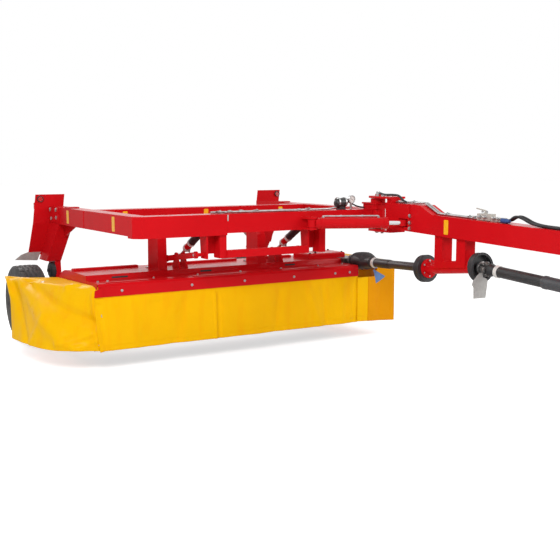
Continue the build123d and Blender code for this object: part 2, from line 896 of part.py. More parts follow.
# Parking jack on the drawbar's left side: sleeve with its bracket, and the sliding leg
jack_r = 30
jack_low = 640
jack_high = 1400
foot_r = 105
foot_t = 12
jack_wall = 10
jack_cap = 20
bracket_w = 70
bracket_h = 100
bracket_over = 30
with BuildPart() as jack_sleeve:
    with BuildSketch(level(jack_low)):
        with Locations((jack_x, jack_y)):
            Circle(jack_r + jack_wall)
    extrude(amount=jack_high - jack_low)
    bracket_z = bar_under(jack_y) + bracket_over
    with BuildSketch(level(bracket_z)):
        with Locations(((pivot_x + bar_w / 2 + jack_x) / 2, jack_y)):
            Rectangle(jack_x - pivot_x - bar_w / 2, bracket_w)
    extrude(amount=bracket_h)
    with BuildSketch(level(jack_low - 1)):
        with Locations((jack_x, jack_y)):
            Circle(jack_r + shaft_gap)
    extrude(amount=jack_high - jack_low - jack_cap + 1, mode=Mode.SUBTRACT)
jack_sleeve.part.label = "jack_sleeve"
export_step(jack_sleeve.part, "parts/jack_sleeve.step")

with BuildPart() as jack_leg:
    with BuildSketch(level(0)):
        with Locations((jack_x, jack_y)):
            Circle(foot_r)
    extrude(amount=foot_t)
    with BuildSketch(level(foot_t)):
        with Locations((jack_x, jack_y)):
            Circle(jack_r)
    extrude(amount=jack_high - jack_cap - jack_lift - jack_cap - foot_t)
jack_leg.part.label = "jack_leg"
export_step(jack_leg.part, "parts/jack_leg.step")

# Swing ram: barrel on the front beam's ears, rod into the drawbar's pocket
ram_vector = Vector(swing_eye_x - swing_x, swing_eye_y - swing_y, 0)
ram_length = ram_vector.length
barrel_from = 30
barrel_bore = 320
ear_room = 24
rod_inside = 230
rod_eye_w = 60
rod_eye_wall = 14
ram_dir = ram_vector.normalized()
swing_foot = Vector(swing_x, swing_y, swing_z)
gland_point = swing_foot + ram_dir * (ram_length * swing_barrel_share)
with BuildPart() as swing_barrel:
    with BuildSketch(level(swing_z - swing_eye_half)):
        with Locations((swing_x, swing_y)):
            Circle(swing_eye_r)
    extrude(amount=2 * swing_eye_half)
    with BuildSketch(along(swing_foot + ram_dir * barrel_from, gland_point)):
        Circle(swing_barrel_r)
    extrude(amount=ram_length * swing_barrel_share - barrel_from)
    # Flats that leave room for the ears
    for flat_z in (swing_z - swing_eye_half - ear_room, swing_z + swing_eye_half):
        with BuildSketch(level(flat_z)):
            with Locations((swing_x, swing_y)):
                Circle(swing_ear_r + joint_gap)
        extrude(amount=ear_room, mode=Mode.SUBTRACT)
    with BuildSketch(level(swing_z - swing_eye_half - ear_room)):
        with Locations((swing_x, swing_y)):
            Circle(swing_pin_r + shaft_gap)
    extrude(amount=2 * (swing_eye_half + ear_room), mode=Mode.SUBTRACT)
    with BuildSketch(along(gland_point + ram_dir, swing_foot)):
        Circle(swing_rod_r + shaft_gap)
    extrude(amount=barrel_bore, mode=Mode.SUBTRACT)
swing_barrel.part.label = "swing_barrel"
export_step(swing_barrel.part, "parts/swing_barrel.step")

eye_point = swing_foot + ram_dir * ram_length
rod_tail = gland_point - ram_dir * rod_inside
with BuildPart() as swing_rod:
    with BuildSketch(along(rod_tail, eye_point)):
        Circle(swing_rod_r)
    extrude(amount=(eye_point - rod_tail).length - eye_r / 2)
    with BuildSketch(level(swing_z - rod_eye_w / 2)):
        with Locations((swing_eye_x, swing_eye_y)):
            Circle(eye_r)
            Circle(eye_r - rod_eye_wall, mode=Mode.SUBTRACT)
    extrude(amount=rod_eye_w)
swing_rod.part.label = "swing_rod"
export_step(swing_rod.part, "parts/swing_rod.step")

# Rear drive shaft: a joint cross in the rear guard cone, then the shaft to the head's input,
# with a bell over the input that stays clear of the gearbox
bell_mouth_r = 88
bell_neck_r = 58
bell_length = 300
bell_gap = 96
bell_wall = 8
neck_wall = 4
neck_solid = 40
shaft_in_bell = 30
shaft_clear = 44
yoke_w = 30
yoke_run = 76
bridge_t = 24
bridge_y = cross_y + 58
shaft_from = Vector(pivot_x, cross_y, cross_z)
input_point = Vector(input_x, input_y, input_z)
rear_dir = (input_point - shaft_from).normalized()
with BuildPart() as joint_cross:
    with BuildSketch(level(cross_z - cross_arm - joint_gap + seat_gap)):
        with Locations((pivot_x, cross_y)):
            Circle(cross_r)
    extrude(amount=2 * (cross_arm + joint_gap - seat_gap))
    with BuildSketch(side(pivot_x - cross_arm - joint_gap + seat_gap)):
        with Locations((cross_y, cross_z)):
            Circle(cross_r)
    extrude(amount=2 * (cross_arm + joint_gap - seat_gap))
joint_cross.part.label = "joint_cross"
export_step(joint_cross.part, "parts/joint_cross.step")

bell_mouth = input_point - rear_dir * bell_gap
bell_neck = bell_mouth - rear_dir * bell_length
with BuildPart() as rear_shaft:
    shaft_start = shaft_from + rear_dir * shaft_clear
    with BuildSketch(along(shaft_start, input_point)):
        Circle(shaft_r)
    extrude(amount=(bell_neck - shaft_start).length + shaft_in_bell)
    # Yoke that holds the level arms of the cross
    for ear in (-1, 1):
        with BuildSketch(side(pivot_x + ear * (cross_arm + joint_gap + yoke_t / 2) - yoke_t / 2)):
            with Locations((bridge_y + 2 - yoke_run / 2 - 4, cross_z)):
                Rectangle(yoke_run, yoke_w)
        extrude(amount=yoke_t)
    with BuildSketch(face(bridge_y)):
        with Locations((pivot_x, cross_z)):
            Rectangle(2 * (cross_arm + joint_gap + yoke_t), yoke_w)
    extrude(amount=bridge_t)
    # Bell, open towards the gearbox
    with BuildSketch(along(bell_neck, input_point)):
        Circle(bell_neck_r)
    with BuildSketch(along(bell_mouth, input_point)):
        Circle(bell_mouth_r)
    loft(ruled=True)
    with BuildSketch(along(bell_neck + rear_dir * neck_solid, input_point)):
        Circle(bell_neck_r - neck_wall)
    with BuildSketch(along(bell_mouth + rear_dir, input_point)):
        Circle(bell_mouth_r - bell_wall)
    loft(ruled=True, mode=Mode.SUBTRACT)
rear_shaft.part.label = "rear_shaft"
export_step(rear_shaft.part, "parts/rear_shaft.step")

# Head: side plates, stepped deck, hood, cutter bar and swath boards
hood_out_r = deck_z - nip_z


def hood_point(radius, angle):
    """Point of the hood's section, measured up from the nip's rear horizontal."""
    spread = math.radians(angle)
    return (roll_y + radius * math.cos(spread), nip_z + radius * math.sin(spread))


with BuildPart() as deck:
    with BuildSketch(side(-half_head)):
        with BuildLine():
            Polyline(
                (0, strip_low),
                (0, strip_high),
                (deck_slope, deck_low_z),
                (deck_step_y, deck_low_z),
                (deck_step_y + deck_slope, deck_z),
                (roll_y, deck_z),
                (roll_y, deck_z - sheet_t),
                (deck_step_y + deck_slope + sheet_t, deck_z - sheet_t),
                (deck_step_y + sheet_t, deck_low_z - sheet_t),
                (deck_slope + sheet_t / 2, deck_low_z - sheet_t),
                (sheet_t, strip_high - sheet_t / 2),
                (sheet_t, strip_low),
                close=True,
            )
        make_face()
    extrude(amount=head_w)
deck.part.label = "deck"
export_step(deck.part, "parts/deck.step")

with BuildPart() as hood:
    with BuildSketch(side(-half_head)):
        with BuildLine():
            Line((roll_y, deck_z), (roll_y, deck_z - sheet_t))
            ThreePointArc(
                (roll_y, deck_z - sheet_t),
                hood_point(hood_out_r - sheet_t, (90 + hood_angle) / 2),
                hood_point(hood_out_r - sheet_t, hood_angle),
            )
            Line(hood_point(hood_out_r - sheet_t, hood_angle), hood_point(hood_out_r, hood_angle))
            ThreePointArc(
                hood_point(hood_out_r, hood_angle),
                hood_point(hood_out_r, (90 + hood_angle) / 2),
                (roll_y, deck_z),
            )
        make_face()
    extrude(amount=head_w)
hood.part.label = "hood"
export_step(hood.part, "parts/hood.step")

with BuildPart() as side_plates:
    for plate_x in (-half_head, plate_in):
        with BuildSketch(side(plate_x)):
            with BuildLine():
                Polyline(
                    (roll_y, deck_z - sheet_t),
                    (deck_step_y + deck_slope + sheet_t, deck_z - sheet_t),
                    (deck_step_y + sheet_t, deck_low_z - sheet_t),
                    (plate_front_y, deck_low_z - sheet_t),
                    (plate_front_y, plate_nose_z),
                    (cutter_bar_y - plate_past, bar_floor + 10),
                    (cutter_bar_y + 20, bar_floor),
                    (cutter_bar_y + cutter_bar_w + plate_past, bar_floor),
                    (plate_tail_y - 80, plate_heel_z),
                    (plate_tail_y, plate_tail_z),
                    hood_point(hood_out_r - sheet_t, hood_angle),
                )
                ThreePointArc(
                    hood_point(hood_out_r - sheet_t, hood_angle),
                    hood_point(hood_out_r - sheet_t, (90 + hood_angle) / 2),
                    (roll_y, deck_z - sheet_t),
                )
            make_face()
            with Locations(*[(roll_y, roll_z) for roll_z in roll_heights]):
                Circle(roll_stub_r + shaft_gap, mode=Mode.SUBTRACT)
        extrude(amount=plate_t)
side_plates.part.label = "side_plates"
export_step(side_plates.part, "parts/side_plates.step")

disc_places = [(i - (disc_count - 1) / 2) * disc_pitch for i in range(disc_count)]
with BuildPart() as cutter_bar:
    with BuildSketch(level(bar_floor)):
        with Locations((0, cutter_bar_y + cutter_bar_w / 2)):
            Rectangle(2 * plate_in, cutter_bar_w)
    extrude(amount=cutter_bar_h)
    # Skid shoes below, one for each disc
    for disc_x in disc_places:
        with BuildSketch(side(disc_x - skid_w / 2)):
            with BuildLine():
                Polyline(
                    (cutter_bar_y - 34, bar_floor + 30),
                    (cutter_bar_y - 6, bar_floor - skid_t + 4),
                    (cutter_bar_y + 30, bar_floor - skid_t),
                    (cutter_bar_y + cutter_bar_w, bar_floor - skid_t),
                    (cutter_bar_y + cutter_bar_w, bar_floor + 2),
                    (cutter_bar_y, bar_floor + 2),
                    (cutter_bar_y, bar_floor + 30),
                    close=True,
                )
            make_face()
        extrude(amount=skid_w)
cutter_bar.part.label = "cutter_bar"
export_step(cutter_bar.part, "parts/cutter_bar.step")

swath_turn = 210
swath_reach = 160
swath_t = 6
swath_low = 230
swath_h = 330
with BuildPart() as swath_boards:
    for outer in (-1, 1):
        with BuildSketch(level(swath_low)):
            with BuildLine():
                Polyline(
                    (outer * (plate_in - seat_gap), plate_tail_y - 70),
                    (outer * (plate_in - seat_gap), plate_tail_y - 70 + 2 * swath_t),
                    (outer * (plate_in - swath_turn + swath_t), plate_tail_y + swath_reach),
                    (outer * (plate_in - swath_turn), plate_tail_y + swath_reach - swath_t),
                    close=True,
                )
            make_face()
        extrude(amount=swath_h)
swath_boards.part.label = "swath_boards"
export_step(swath_boards.part, "parts/swath_boards.step")

# Cutting discs: oval plate, hub, dome and two blades each, neighbours a quarter turn apart
disc_hub_r = 55
disc_hub_h = 16
disc_plate_t = 9
dome_low_r = 78
dome_high_r = 46
dome_h = 27
blade_w = 44
blade_t = 4
blade_under = 12
blade_in = 44
disc_low = bar_floor + cutter_bar_h + seat_gap


def cutting_disc(x, turn):
    """Disc at x, with its long axis turned from the x direction."""
    base = Plane(origin=(head_x + x, head_y + disc_y, disc_low), x_dir=(1, 0, 0), z_dir=(0, 0, 1))
    with BuildPart() as disc:
        with BuildSketch(base):
            Circle(disc_hub_r)
        extrude(amount=disc_hub_h)
        with BuildSketch(base.offset(disc_hub_h)):
            Ellipse(disc_long_r, disc_short_r, rotation=turn)
        extrude(amount=disc_plate_t)
        with BuildSketch(base.offset(disc_hub_h + disc_plate_t)):
            Circle(dome_low_r)
        with BuildSketch(base.offset(disc_hub_h + disc_plate_t + dome_h)):
            Circle(dome_high_r)
        loft(ruled=True)
        for end in (0, 180):
            with BuildSketch(base.offset(blade_under)):
                with Locations(Location((0, 0), turn + end)):
                    with Locations(((disc_long_r + blade_r - blade_in) / 2, 0)):
                        Rectangle(blade_r - disc_long_r + blade_in, blade_w)
            extrude(amount=blade_t)
    return disc


for number, disc_x in enumerate(disc_places, start=1):
    disc = cutting_disc(disc_x, 90 * (number % 2))
    disc.part.label = f"disc_{number}"
    export_step(disc.part, f"parts/disc_{number}.step")

# Conditioner rolls with straight ribs that mesh, and end stubs in the side plates
roll_half = plate_in - 12


def conditioner_roll(roll_z, turn):
    """Ribbed roll at roll_z, its first rib at the angle turn."""
    with BuildPart() as roll:
        with BuildSketch(side(-roll_half)):
            with Locations((roll_y, roll_z)):
                Circle(roll_core_r)
                with PolarLocations(0, roll_ribs, start_angle=turn):
                    Polygon(
                        (roll_core_r - 6, -rib_base / 2),
                        (roll_tip_r, -rib_tip / 2),
                        (roll_tip_r, rib_tip / 2),
                        (roll_core_r - 6, rib_base / 2),
                        align=None,
                    )
        extrude(amount=2 * roll_half)
        with BuildSketch(side(-half_head)):
            with Locations((roll_y, roll_z)):
                Circle(roll_stub_r)
        extrude(amount=2 * half_head)
    return roll


roll_low = conditioner_roll(roll_heights[0], 90)
roll_low.part.label = "roll_low"
export_step(roll_low.part, "parts/roll_low.step")
roll_high = conditioner_roll(roll_heights[1], 270 + 180 / roll_ribs)
roll_high.part.label = "roll_high"
export_step(roll_high.part, "parts/roll_high.step")

# Gearbox on the head's left end with its input stub, and the cover over the drive to the discs
gearbox_face = input_y + input_back
seal_r = 34
seal_t = 20
cover_size = (455, 300, 52)
cover_y = 540
cover_round = 14
cover_out = 115
with BuildPart() as gearbox:
    with BuildSketch(level(gearbox_low)):
        with Locations((half_head + gearbox_w / 2, gearbox_face + gearbox_run / 2)):
            Rectangle(gearbox_w - 2 * seat_gap, gearbox_run)
    extrude(amount=gearbox_top - gearbox_low)
    for stub_radius, stub_length in ((seal_r, seal_t), (input_r, input_stub)):
        with BuildSketch(face(gearbox_face)):
            with Locations((input_x, input_z)):
                Circle(stub_radius)
        extrude(amount=stub_length)
gearbox.part.label = "gearbox"
export_step(gearbox.part, "parts/gearbox.step")

with BuildPart() as drive_cover:
    with BuildSketch(level(deck_z)):
        with Locations((half_head + cover_out - cover_size[0] / 2, cover_y)):
            Rectangle(cover_size[0], cover_size[1])
    extrude(amount=cover_size[2])
    fillet(drive_cover.edges().group_by(Axis.Z)[-1], radius=cover_round)
drive_cover.part.label = "drive_cover"
export_step(drive_cover.part, "parts/drive_cover.step")

# Deck posts and brackets for the links and lift rams
low_eye_y = hanger_y + link_run
low_eye_z = low_pivot_z - link_drop
high_eye_y = high_pivot_y + link_run
high_eye_z = high_pivot_z - link_drop
with BuildPart() as deck_posts:
    for hanger_x, post_x in suspension:
        with BuildSketch(side(post_x - post_w / 2)):
            with BuildLine():
                Polyline(
                    (deck_step_y + 20, deck_z),
                    (high_eye_y + 50, deck_z),
                    (high_eye_y + 40, high_eye_z + 38),
                    (high_eye_y - 40, high_eye_z + 38),
                    (deck_step_y + 30, high_eye_z - 60),
                    close=True,
                )
            make_face()
        extrude(amount=post_w)
        pin_run = 2 * joint_gap + link_t + 16
        for pin_y, pin_z in ((low_eye_y, low_eye_z), (high_eye_y, high_eye_z)):
            with BuildSketch(side(post_x + post_w / 2)):
                with Locations((pin_y, pin_z)):
                    Circle(link_pin_r)
            extrude(amount=pin_run)
        for ear_x in (hanger_x - 46, hanger_x + 30):
            with BuildSketch(side(ear_x)):
                with Locations((ram_foot_y, ram_foot_z)):
                    Circle(34)
                with BuildLine():
                    Polyline(
                        (ram_foot_y - 80, deck_z),
                        (ram_foot_y + 80, deck_z),
                        (ram_foot_y + 30, ram_foot_z),
                        (ram_foot_y - 30, ram_foot_z),
                        close=True,
                    )
                make_face()
            extrude(amount=16)
deck_posts.part.label = "deck_posts"
export_step(deck_posts.part, "parts/deck_posts.step")


def link_pair(start, end):
    """Flat links with an eye at each end, one beside each deck post, from start to end."""
    middle = ((start[0] + end[0]) / 2, (start[1] + end[1]) / 2)
    length = math.hypot(end[0] - start[0], end[1] - start[1])
    slope = math.degrees(math.atan2(end[1] - start[1], end[0] - start[0]))
    with BuildPart() as pair:
        for link_x in link_places:
            with BuildSketch(side(link_x - link_t / 2)):
                with Locations(Location(middle, slope)):
                    Rectangle(length, link_h)
                with Locations(start, end):
                    Circle(eye_out)
                with Locations(start, end):
                    Circle(link_pin_r + shaft_gap, mode=Mode.SUBTRACT)
            extrude(amount=link_t)
    return pair


lower_links = link_pair((hanger_y, low_pivot_z), (low_eye_y, low_eye_z))
lower_links.part.label = "lower_links"
export_step(lower_links.part, "parts/lower_links.step")

upper_links = link_pair((high_pivot_y, high_pivot_z), (high_eye_y, high_eye_z))
upper_links.part.label = "upper_links"
export_step(upper_links.part, "parts/upper_links.step")

# Lift rams from the front beam's rear ears to the deck brackets
ram_r = 32
ram_rod_r = 16
ram_share = 0.76
ram_eye_r = 32
ram_top = Vector(0, ram_y, ram_z)
ram_foot = Vector(0, ram_foot_y, ram_foot_z)
lift_dir = (ram_foot - ram_top).normalized()
lift_length = (ram_foot - ram_top).length
with BuildPart() as lift_barrels:
    for hanger_x, post_x in suspension:
        at_x = Vector(hanger_x, 0, 0)
        with BuildSketch(side(hanger_x - 30)):
            with Locations((ram_y, ram_z)):
                Circle(ram_eye_r)
        extrude(amount=60)
        with BuildSketch(along(ram_top + at_x + lift_dir * 20, ram_foot + at_x)):
            Circle(ram_r)
        extrude(amount=lift_length * ram_share - 20)
        with BuildSketch(side(hanger_x - 80)):
            with Locations((ram_y, ram_z)):
                Circle(link_pin_r + shaft_gap)
        extrude(amount=160, mode=Mode.SUBTRACT)
        with BuildSketch(along(ram_top + at_x + lift_dir * (lift_length * ram_share + 1), ram_top + at_x)):
            Circle(ram_rod_r + shaft_gap)
        extrude(amount=260, mode=Mode.SUBTRACT)
lift_barrels.part.label = "lift_barrels"
export_step(lift_barrels.part, "parts/lift_barrels.step")

with BuildPart() as lift_rods:
    for hanger_x, post_x in suspension:
        at_x = Vector(hanger_x, 0, 0)
        tail = ram_top + at_x + lift_dir * (lift_length * ram_share - 120)
        with BuildSketch(along(tail, ram_foot + at_x)):
            Circle(ram_rod_r)
        extrude(amount=(ram_foot + at_x - tail).length - ram_eye_r / 2)
        with BuildSketch(side(hanger_x - 24)):
            with Locations((ram_foot_y, ram_foot_z)):
                Circle(ram_eye_r - 4)
                Circle(12, mode=Mode.SUBTRACT)
        extrude(amount=48)
lift_rods.part.label = "lift_rods"
export_step(lift_rods.part, "parts/lift_rods.step")

# Safety curtains: the front sheet, and the flared side sheets on their rails
with BuildPart() as curtain_front:
    with BuildSketch(level(curtain_low)):
        with Locations((0, sheet_t + seat_gap + curtain_t / 2)):
            Rectangle(2 * half_head - 20, curtain_t)
    extrude(amount=strip_high - 20 - curtain_low)
curtain_front.part.label = "curtain_front"
export_step(curtain_front.part, "parts/curtain_front.step")


def curtain_strip(points):
    """Closed outline of a hanging sheet along plan points, thickened inward."""
    return points + [(x + curtain_t, y) for x, y in reversed(points)]


# How far the right sheet stands off the head at each y, along its top and its lower edge
top_flare = [(12, 16), (141.5, 480), (283.5, 980), (401.5, 1400)]
low_flare = [(14, 8), (323.5, 330), (421.5, 720), (curtain_reach - half_head, 1010)]
right_top = [(-half_head - out, y) for out, y in top_flare]
right_low = [(-half_head - out, y) for out, y in low_flare]
with BuildPart() as curtain_right:
    with BuildSketch(level(curtain_top)):
        Polygon(*curtain_strip(right_top), align=None)
    with BuildSketch(level(curtain_low)):
        Polygon(*curtain_strip(right_low), align=None)
    loft(ruled=True)
    with BuildSketch(level(curtain_top - curtain_t)):
        inner_edge = [(-half_head - seat_gap, plate_tail_y - 40), (-half_head - seat_gap, 16)]
        Polygon(*right_top, *inner_edge, align=None)
    extrude(amount=curtain_t)
curtain_right.part.label = "curtain_right"
export_step(curtain_right.part, "parts/curtain_right.step")

left_rail_z = 790
left_throat_z = 660
throat_rear_y = 640
left_rear_y = 1060
left_front_y = 660
left_arm_y = 700
with BuildPart() as curtain_left:
    # Front panel, lower where the drive line passes over it
    with BuildSketch(face(6)):
        with BuildLine():
            Polyline(
                (half_head + seat_gap, curtain_low),
                (curtain_reach - 20, curtain_low - 26),
                (curtain_reach, left_rail_z),
                (input_x + 170, left_rail_z - 40),
                (input_x + 110, left_throat_z),
                (half_head + seat_gap, left_throat_z),
                close=True,
            )
        make_face()
    extrude(amount=curtain_t)
    with BuildSketch(side(curtain_reach - curtain_t)):
        with BuildLine():
            Polyline(
                (6 - curtain_t, curtain_low - 26),
                (left_rear_y - 80, curtain_low),
                (left_rear_y, left_rail_z),
                (6 - curtain_t, left_rail_z),
                close=True,
            )
        make_face()
    extrude(amount=curtain_t)
    with BuildSketch(level(left_rail_z - curtain_t)):
        with BuildLine():
            Polyline(
                (curtain_reach, 6 - curtain_t),
                (curtain_reach, left_rear_y),
                (half_head + seat_gap, left_rear_y),
                (half_head + seat_gap, throat_rear_y),
                (input_x + 140, throat_rear_y),
                (input_x + 170, 6 - curtain_t),
                close=True,
            )
        make_face()
    extrude(amount=curtain_t)
curtain_left.part.label = "curtain_left"
export_step(curtain_left.part, "parts/curtain_left.step")

# Rails that hold the side curtains out, on arms from the side plates
rail_r = 10
rail_z = curtain_top - curtain_t - rail_r - seat_gap
rail_inset = 30
arm_run = 14
left_rail_low = left_rail_z - curtain_t - rail_r - seat_gap
with BuildPart() as curtain_rails:
    rail_line = [(-half_head - out + rail_inset, y) for out, y in top_flare[1:]]
    for start, end in zip(rail_line, rail_line[1:]):
        with BuildSketch(along((*start, rail_z), (*end, rail_z))):
            Circle(rail_r)
        extrude(amount=span((*start, rail_z), (*end, rail_z)))
    for corner in rail_line:
        with BuildSketch(level(rail_z - rail_r)):
            with Locations(corner):
                Circle(rail_r + 4)
        extrude(amount=2 * rail_r)
    for corner in rail_line[:2]:
        with BuildSketch(side(corner[0])):
            with Locations((corner[1], rail_z)):
                Circle(rail_r)
        extrude(amount=-half_head - seat_gap - corner[0])
    # Left rail, behind the gearbox
    left_x = curtain_reach - rail_inset
    with BuildSketch(face(left_front_y)):
        with Locations((left_x, left_rail_low)):
            Circle(rail_r)
    extrude(amount=left_front_y - left_rear_y + arm_run)
    for arm_y in (left_arm_y, left_rear_y - 2 * arm_run):
        with BuildSketch(side(half_head + seat_gap)):
            with Locations((arm_y, left_rail_low)):
                Circle(rail_r)
        extrude(amount=left_x - half_head - seat_gap)
curtain_rails.part.label = "curtain_rails"
export_step(curtain_rails.part, "parts/curtain_rails.step")

# Accumulator and pressure gauge of the float circuit, on the front beam
accumulator_x = pivot_x - 401
accumulator_y = -245
accumulator_r = 44
manifold = (70, 60, 30)
gauge_x = pivot_x - 282
gauge_z = 1450
gauge_r = 36
gauge_t = 30
gauge_stem_r = 12
bottle_z = frame_top + manifold[2] + accumulator_r - 8
bottle_from = (accumulator_x - 68, accumulator_y, bottle_z - 12)
bottle_to = (accumulator_x + 68, accumulator_y, bottle_z + 12)
with BuildPart() as bottle:
    with BuildSketch(along(bottle_from, bottle_to)):
        Circle(accumulator_r)
    extrude(amount=span(bottle_from, bottle_to))
    fillet(bottle.edges().filter_by(GeomType.CIRCLE), radius=accumulator_r * 0.7)
with BuildPart() as accumulator:
    with BuildSketch(level(frame_top)):
        with Locations((accumulator_x, accumulator_y)):
            Rectangle(manifold[0], manifold[1])
    extrude(amount=manifold[2])
    add(bottle.part)
accumulator.part.label = "accumulator"
export_step(accumulator.part, "parts/accumulator.step")

with BuildPart() as gauge:
    with BuildSketch(level(frame_top)):
        with Locations((gauge_x, accumulator_y)):
            Circle(gauge_stem_r)
    extrude(amount=gauge_z - frame_top)
    with BuildSketch(face(accumulator_y + gauge_t / 2)):
        with Locations((gauge_x, gauge_z)):
            Circle(gauge_r)
    extrude(amount=gauge_t)
gauge.part.label = "gauge"
export_step(gauge.part, "parts/gauge.step")

# Valve block on the drawbar with its lever, and the pipes that reach it from the swivel
valve_from = -1700
valve_steps = [(150, 70, 54), (140, 50, 34)]
lever_run = 110
pipe_r = 9
pipe_apart = 30
pipe_bend = 40


def bar_over(y):
    """Height of the drawbar's top at y."""
    if y > block_front_y:
        return block_top - 8 * (block_rear_y - y) / (block_rear_y - block_front_y)
    if y > step_front_y:
        share = (block_front_y - y) / (block_front_y - step_front_y)
        return block_top - 8 + (beam_top - block_top + 8) * share
    return beam_top - bar_drop * (step_front_y - y) / (step_front_y - bar_front_y)


with BuildPart() as valve_block:
    step_y = valve_from
    for run, width, height in valve_steps:
        with BuildSketch(level(bar_over(step_y) + seat_gap)):
            with Locations((pivot_x, step_y - run / 2)):
                Rectangle(width, run)
        extrude(amount=height)
        step_y -= run
    with BuildSketch(side(pivot_x - 6)):
        lever_z = bar_over(valve_from) + valve_steps[0][2]
        with BuildLine():
            Polyline(
                (valve_from - 90, lever_z - 6),
                (valve_from - 70, lever_z + 30),
                (valve_from - 70 + lever_run, lever_z + 46),
                (valve_from - 70 + lever_run, lever_z + 36),
                (valve_from - 60, lever_z + 20),
                (valve_from - 50, lever_z - 6),
                close=True,
            )
        make_face()
    extrude(amount=12)
valve_block.part.label = "valve_block"
export_step(valve_block.part, "parts/valve_block.step")


def run_of_pipe(x, stops, radius):
    """Round pipe at x along the drawbar through the stops, a list of y and height over the bar."""
    points = [(x, y, bar_over(y) + over) for y, over in stops]
    with BuildPart() as pipe:
        with BuildLine() as centre:
            origin = Vector(head_x, head_y, 0)
            FilletPolyline(*[origin + Vector(point) for point in points], radius=pipe_bend)
        with BuildSketch(Plane(origin=centre.wire() @ 0, z_dir=centre.wire() % 0)):
            Circle(radius)
        sweep()
    return pipe


pipe_over = pipe_r + seat_gap
pipe_stops = [
    (block_rear_y - lug_overlap - 2 * seat_gap, pipe_over),
    (block_front_y + 10, pipe_over + 9),
    (step_front_y - 10, pipe_over),
    (valve_from + 2 * seat_gap, pipe_over),
]
with BuildPart() as hydraulic_pipes:
    for place in (-1, 1):
        pipe = run_of_pipe(pivot_x + place * pipe_apart / 2, pipe_stops, pipe_r)
        add(pipe.part)
hydraulic_pipes.part.label = "hydraulic_pipes"
export_step(hydraulic_pipes.part, "parts/hydraulic_pipes.step")

# Hoses from the valve block towards the tractor, in a hump and then along the beam
hose_r = 11
hose_apart = 26
hose_over = hose_r + seat_gap
hose_from = valve_from - sum(run for run, width, height in valve_steps)
hose_stops = [
    (hose_from - 2 * seat_gap, hose_over + 6),
    (hose_from - 60, hose_over + 6),
    (hose_from - 150, hose_over + 46),
    (hose_from - 330, hose_over),
    (bar_front_y + 260, hose_over),
]
with BuildPart() as hydraulic_hoses:
    for place in (-1, 1):
        hose = run_of_pipe(pivot_x + place * hose_apart / 2, hose_stops, hose_r)
        add(hose.part)
hydraulic_hoses.part.label = "hydraulic_hoses"
export_step(hydraulic_hoses.part, "parts/hydraulic_hoses.step")
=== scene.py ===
import json
import math

import bmesh
import bpy
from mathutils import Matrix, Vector, noise


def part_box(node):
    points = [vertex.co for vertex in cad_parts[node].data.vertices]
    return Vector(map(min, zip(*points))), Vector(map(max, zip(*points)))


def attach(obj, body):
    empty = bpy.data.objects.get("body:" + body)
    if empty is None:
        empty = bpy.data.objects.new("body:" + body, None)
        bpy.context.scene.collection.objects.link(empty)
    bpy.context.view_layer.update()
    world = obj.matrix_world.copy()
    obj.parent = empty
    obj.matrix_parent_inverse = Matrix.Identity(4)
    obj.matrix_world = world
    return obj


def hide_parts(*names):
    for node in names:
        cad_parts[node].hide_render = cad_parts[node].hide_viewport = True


bl_info = {
    "name": "Trailed mower dressing",
    "version": (1, 0, 0),
    "blender": (4, 5, 0),
    "location": "View3D > Sidebar > Mower",
    "description": "Paint, curtains, tyres, fittings and studio for the packed trailed mower",
    "category": "Object",
}

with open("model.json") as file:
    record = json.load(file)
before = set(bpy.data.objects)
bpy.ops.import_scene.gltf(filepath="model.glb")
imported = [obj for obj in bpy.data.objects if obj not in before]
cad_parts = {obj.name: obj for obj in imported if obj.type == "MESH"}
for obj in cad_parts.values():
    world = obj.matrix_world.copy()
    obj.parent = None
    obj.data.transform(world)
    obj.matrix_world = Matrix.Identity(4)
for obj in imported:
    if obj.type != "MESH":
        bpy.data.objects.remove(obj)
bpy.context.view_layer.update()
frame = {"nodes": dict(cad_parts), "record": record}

# Places are counted from the middle of the head's front face, in metres:
# x to the machine's left, y rearward, z up from the ground.
DECK_LOW, DECK_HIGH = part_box("deck")
MIDDLE_X = (DECK_LOW.x + DECK_HIGH.x) / 2
FRONT_Y = DECK_LOW.y
HALF_HEAD = (DECK_HIGH.x - DECK_LOW.x) / 2
LEFT, REAR, UP = (1, 0, 0), (0, 1, 0), (0, 0, 1)
RIGHT, FRONT, DOWN = (-1, 0, 0), (0, -1, 0), (0, 0, -1)


def at(x, y=None, z=None):
    """Point at x, y, z, or at one vector of them, from the middle of the head's front face."""
    if y is None:
        x, y, z = x
    return Vector((MIDDLE_X + x, FRONT_Y + y, z))


def path(*places):
    """Points at several places."""
    return [at(place) for place in places]


def box_at(node):
    """Lowest and highest corners of a node, counted as in at()."""
    low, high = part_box(node)
    shift = Vector((MIDDLE_X, FRONT_Y, 0))
    return low - shift, high - shift


def clamp(share):
    """Share kept between nought and one."""
    return max(0.0, min(1.0, share))


def sixths(first=0):
    """Six angles round a bolt circle, from a first one in degrees."""
    return [math.radians(60 * step + first) for step in range(6)]


# Outer faces of the side beams, and the middle of the drawbar with the drive shafts below it
RIGHT_FACE = box_at("side_beam_right")[0].x
LEFT_FACE = box_at("side_beam_left")[1].x
BAR_X = 1.386
# Tops of the deck's front strip, of the raised deck behind it and of the drive cover
STRIP_TOP, DECK_TOP, COVER_TOP = 0.768, 0.812, 0.864
# Middle of the gearbox's input, and the valve block's front face
INPUT_X, INPUT_Z = 1.495, 0.785
VALVE_FRONT = -1.9906


# ---- Shader node groups are built once and placed in each material ----
def put(tree, target, value):
    """Set a socket to a number, or link a value to it."""
    if isinstance(value, (int, float)):
        target.default_value = value
    else:
        tree.links.new(value, target)


